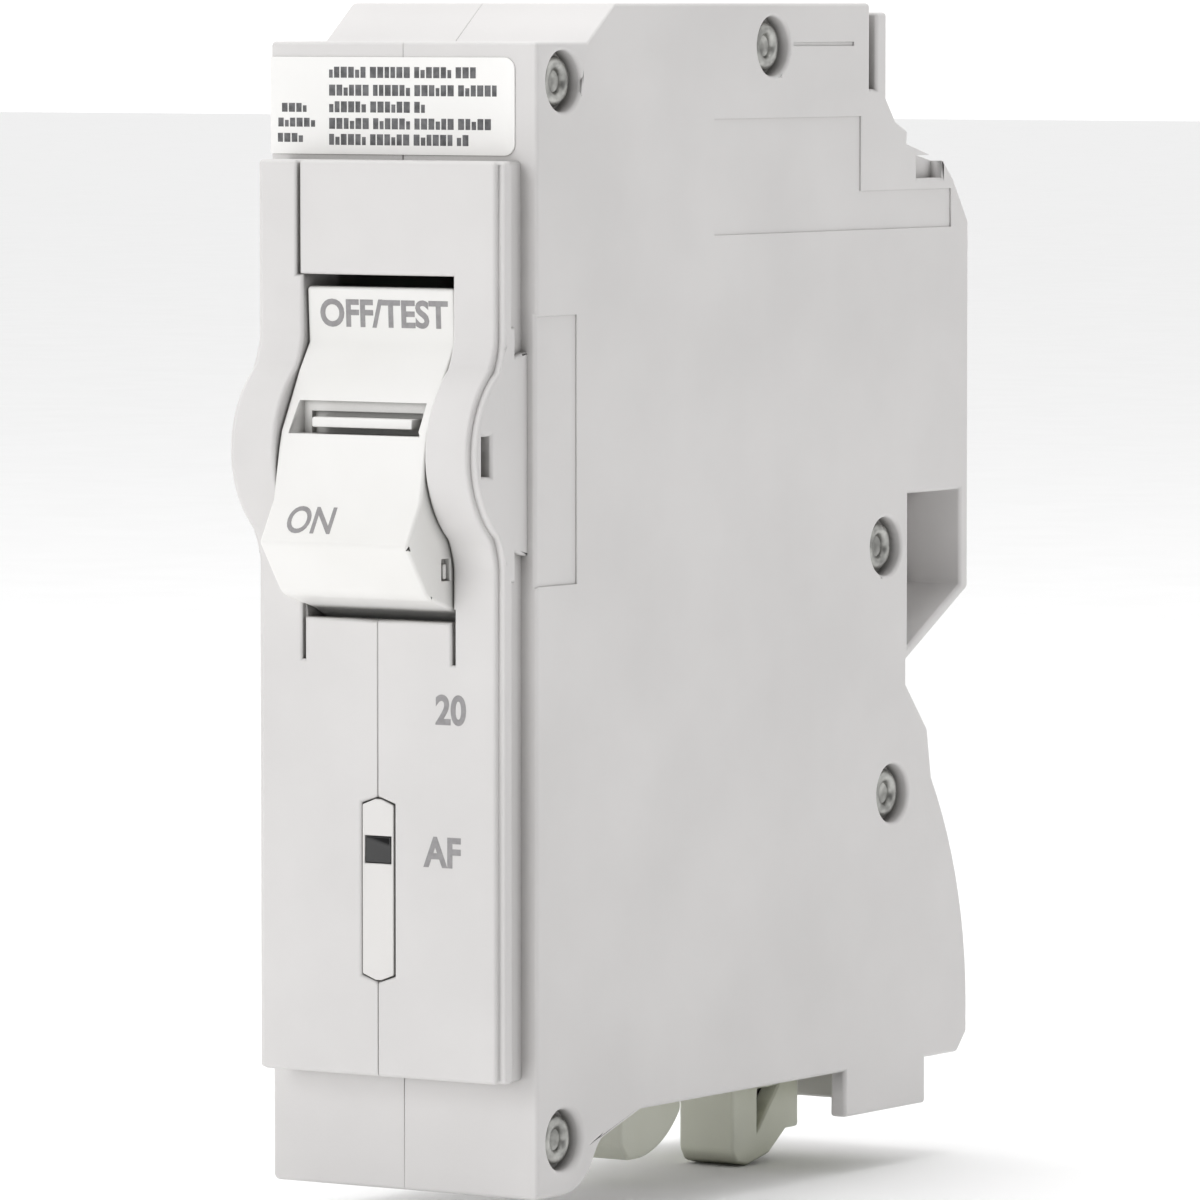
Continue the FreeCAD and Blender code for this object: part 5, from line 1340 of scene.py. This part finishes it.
@dataclass
class Board:
    """The circuit board with its traces, the packages' leads and marks, and the parts that stand tall."""

    trace_mm: float = 0.35
    lead_mm: float = 0.32

    def build(self) -> None:
        """Dress the board and its parts."""
        self.traces()
        self.leads()
        self.can()
        self.disc()
        self.lamp()

    def traces(self) -> None:
        """Tinned tracks that run between the packages on the board's inner face."""
        grids = []
        controller, thyristor = node_box("controller_chip"), node_box("trip_thyristor")
        diodes, resistors = node_box("rectifier_diodes"), node_box("chip_resistors")
        face = BOARD_X
        for step in range(6):
            z = controller[0][2] + 0.6 + step * 0.95
            grids.append(bar(face - 0.03, face + 0.02, controller[1][1], controller[1][1] + 3.0 + step * 0.5,
                             z, z + self.trace_mm, 0.01))
        for step in range(4):
            y = thyristor[0][1] + 0.6 + step * 1.2
            grids.append(bar(face - 0.03, face + 0.02, y, y + self.trace_mm, thyristor[1][2],
                             thyristor[1][2] + 2.2, 0.01))
            z = diodes[0][2] - 1.0 - step * 0.8
            grids.append(bar(face - 0.03, face + 0.02, diodes[0][1], resistors[1][1] - 1.0, z,
                             z + self.trace_mm, 0.01))
        settle(shells("board_tracks", grids), "circuit_board", FINISHES["tinned_copper"])

    def leads(self) -> None:
        """Gull-wing leads beside the controller, legs below the thyristor, and the marks on the controller."""
        grids, face = [], BOARD_X
        low, high = node_box("controller_chip")
        for step in range(8):
            z = low[2] + 0.55 + step * (high[2] - low[2] - 1.4) / 7
            for start, end in ((low[1] - 0.75, low[1]), (high[1], high[1] + 0.75)):
                grids.append(bar(face - 0.25, face, start, end, z, z + self.lead_mm, 0.03))
        low, high = node_box("trip_thyristor")
        for step in range(3):
            y = low[1] + 0.5 + step * 1.5
            grids.append(bar(face - 0.3, face, y, y + 0.7, low[2] - 1.0, low[2], 0.03))
        settle(shells("package_leads", grids), "controller_chip", FINISHES["tinned_copper"])
        low, high = node_box("controller_chip")
        dot = turned([(low[0] - 0.012, 0.28), (low[0] - 0.006, 0.3), (low[0] + 0.02, 0.3)],
                     (low[1] + 0.8, high[2] - 0.8), Axis.X, 20)
        rows = [bar(low[0] - 0.012, low[0] + 0.01, low[1] + 1.4, high[1] - 1.0 - step, high[2] - 2.2 - step * 1.1,
                    high[2] - 1.6 - step * 1.1, 0.005) for step in range(3)]
        settle(shells("package_marks", [dot, *rows]), "controller_chip", MARK_INK)

    def can(self) -> None:
        """A sleeved capacitor: a turned can with a rolled groove near its foot and a top set just below its rim."""
        low, high = node_box("filter_capacitor")
        middle, radius = (low + high) / 2, (high[0] - low[0]) / 2
        profile = [(low[2], radius * 0.5), (low[2], radius - 0.25), (low[2] + 0.2, radius - 0.04),
                   (low[2] + 0.8, radius), (low[2] + 1.2, radius - 0.35), (low[2] + 1.6, radius),
                   (high[2] - 0.4, radius), (high[2] - 0.1, radius - 0.15), (high[2], radius - 0.45),
                   (high[2] - 0.06, radius - 0.6), (high[2] - 0.06, 0.3)]
        can = shells("sleeved_capacitor", [turned(profile, (middle[0], middle[1]), Axis.Z, 40)])
        settle(can, "filter_capacitor", stands_for=["filter_capacitor"])

    def disc(self) -> None:
        """A dipped disc: its thickness falls towards the rim as the square root of one minus radius squared."""
        low, high = node_box("surge_varistor")
        middle, radius = (low + high) / 2, (high[1] - low[1]) / 2
        share = np.cos(np.linspace(0, np.pi / 2, 10))
        half = (high[0] - low[0]) / 2
        rise = half * (0.62 + 0.38 * np.sqrt(1 - share ** 2))
        outer = radius * (0.94 + 0.06 * np.sqrt(np.clip(1 - (rise / half - 0.62) / 0.38, 0, 1)))
        front = [(middle[0] - high_, max(share_ * out, 0.15)) for high_, share_, out in zip(rise, share, outer)]
        profile = front[::-1] + [(middle[0], radius)] + [(2 * middle[0] - h, r) for h, r in front]
        disc = shells("dipped_varistor", [turned(profile, (middle[1], middle[2]), Axis.X, 48)])
        settle(disc, "surge_varistor", stands_for=["surge_varistor"])

    def lamp(self) -> None:
        """A small lamp: a straight barrel with a half-round front."""
        low, high = node_box("indicator_led")
        middle, radius = (low + high) / 2, (high[0] - low[0]) / 2
        turn = np.linspace(0.15, np.pi / 2, 8)
        dome = [(low[1] + radius * (1 - math.cos(a)), radius * math.sin(a) * 0.94) for a in turn]
        profile = dome + [(high[1] - 0.6, radius * 0.94), (high[1] - 0.6, radius), (high[1], radius)]
        settle(shells("domed_lamp", [turned(profile, (middle[0], middle[2]), Axis.Y, 32)]), "indicator_led",
               stands_for=["indicator_led"])


@dataclass
class Softened:
    """Small stamped, moulded and turned parts whose only change is a rounded edge."""

    widths: tuple[tuple[str, float], ...] = (
        ("rail_hook", 0.3), ("load_jaw", 0.08), ("neutral_clip", 0.3), ("handle_pin", 0.25), ("contact_arm", 0.12),
        ("moving_contact", 0.2), ("fixed_contact", 0.2), ("arm_pin", 0.2), ("spring_anchor", 0.15),
        ("cradle", 0.1), ("cradle_pin", 0.2), ("bay_partition", 0.06), ("line_strap", 0.12), ("line_jaw", 0.12),
        ("line_jaw_spring", 0.1), ("arc_plates", 0.08), ("arc_chute_boards", 0.05), ("bimetal", 0.1),
        ("magnet_yoke", 0.12), ("armature", 0.1), ("armature_pin", 0.1), ("calibration_bracket", 0.1),
        ("calibration_screw", 0.15), ("load_strap", 0.12), ("neutral_lead", 0.05), ("solenoid_frame", 0.12),
        ("solenoid_bobbin", 0.1), ("plunger", 0.12), ("transformer_core", 0.2), ("circuit_board", 0.05),
        ("controller_chip", 0.1), ("trip_thyristor", 0.1), ("rectifier_diodes", 0.1), ("chip_resistors", 0.08),
        ("test_contact", 0.06))

    def build(self) -> None:
        """Round each part and stand it in for its node."""
        for node, width in self.widths:
            settle(softened("finished_" + node, merged(node), width, segments=2), node, stands_for=[node])


# ------------------------------------------------------------------ studio

@dataclass
class Studio:
    """Pale floor, soft light from the upper left and the front, and the camera."""

    azimuth_deg: float = 33.0
    pitch_deg: float = -3.634
    focal_px: float = 9400.0
    frame_px: float = 1200.0
    sensor_mm: float = 36.0
    eye_mm: tuple[float, float] = (412.16, -606.49)      # to the right of the middle plane, behind the front face
    lamps: tuple[tuple[str, tuple[float, float, float], float, float], ...] = (
        ("key", (-0.25, -0.95, 0.35), 0.6, 3.3),
        ("top", (-0.05, 0.05, 0.9), 0.5, 2.4),
        ("side", (0.8, 0.45, 0.3), 0.5, 0.5))

    sky: tuple[float, float] = (0.24, 1.22)       # brightness at the front right and at the rear left and overhead

    def build(self) -> None:
        """Set up everything around the object."""
        self.floor()
        self.lights()
        self.camera()

    def camera(self) -> None:
        """Place a long lens level with the roof, turned to the front and right sides."""
        data = bpy.data.cameras.new("camera")
        data.sensor_width = self.sensor_mm
        data.lens = self.focal_px / self.frame_px * self.sensor_mm
        data.clip_end = 50.0
        eye = bpy.data.objects.new("camera", data)
        eye.location = Vector(at(self.eye_mm[0], self.eye_mm[1], 0.0) * MM)
        eye.rotation_euler = (math.radians(90.0 + self.pitch_deg), 0.0, math.radians(self.azimuth_deg))
        bpy.context.scene.collection.objects.link(eye)
        bpy.context.scene.camera = eye

    def floor(self) -> None:
        """A wide pale sheet just under the lowest point."""
        corners = np.array([[-1, -1], [1, -1], [1, 1], [-1, 1]]) * 6.0
        mesh = bpy.data.meshes.new("floor")
        mesh.from_pydata([(x, y, CAD_BOX[0][2]) for x, y in corners], [], [(0, 1, 2, 3)])
        sheet = bpy.data.objects.new("floor", mesh)
        bpy.context.scene.collection.objects.link(sheet)
        # Seamless paper: matt white with nothing to see in it.
        mesh.materials.append(Finish("matt_seamless_paper", "#FAFAFA", "#F8F8F8", 0.9, grain_mm=3.0).material())

    def lights(self) -> None:
        """A broad key from the upper left, a top light, a weak fill from the right, and a pale sky."""
        scene = bpy.context.scene
        world = bpy.data.worlds.new("pale_sky")
        world.use_nodes = True
        tree = world.node_tree
        tree.nodes.clear()
        facing = add_node(tree, "VectorMath", {0: add_node(tree, "TexCoord").outputs["Object"],
                                               1: (-0.4, 0.55, 0.73)}, operation="DOT_PRODUCT")
        level = add_node(tree, "MapRange", {"Value": facing.outputs["Value"], "From Min": -0.1, "From Max": 0.72,
                                            "To Min": self.sky[0], "To Max": self.sky[1]})
        glow = add_node(tree, "Background", {"Color": linear("#FFFFFF"), "Strength": level.outputs["Result"]})
        add_node(tree, "OutputWorld", {"Surface": glow.outputs["Background"]})
        scene.world = world
        scene.view_settings.view_transform = "Standard"
        centre = Vector(at(0, 30, 46) * MM)
        for name, offset, size, power in self.lamps:
            data = bpy.data.lights.new(name, "AREA")
            data.size = size
            data.energy = power
            lamp = bpy.data.objects.new(name, data)
            lamp.location = centre + Vector(offset)
            lamp.rotation_euler = (-Vector(offset)).to_track_quat("-Z", "Y").to_euler()
            scene.collection.objects.link(lamp)


def dress_nodes() -> None:
    """Give every CAD node that still shows the finish of its slot."""
    for name, node in frame["nodes"].items():
        node.data.materials.clear()
        finish = BRAIDED_COPPER if name == "flexible_braid" else FINISHES[SLOT_OF[name]]
        node.data.materials.append(finish.material())


def main() -> None:
    """Build the sub-assemblies in order and report each piece."""
    logging.basicConfig(level=logging.INFO, format="%(name)s: %(message)s")
    dress_nodes()
    for assembly in (CaseShells(), RivetSet(), FrontTrim(), Handle(), Springs(), Windings(), Board(), Softened(),
                     Studio()):
        assembly.build()


if __name__ == "__main__":
    main()
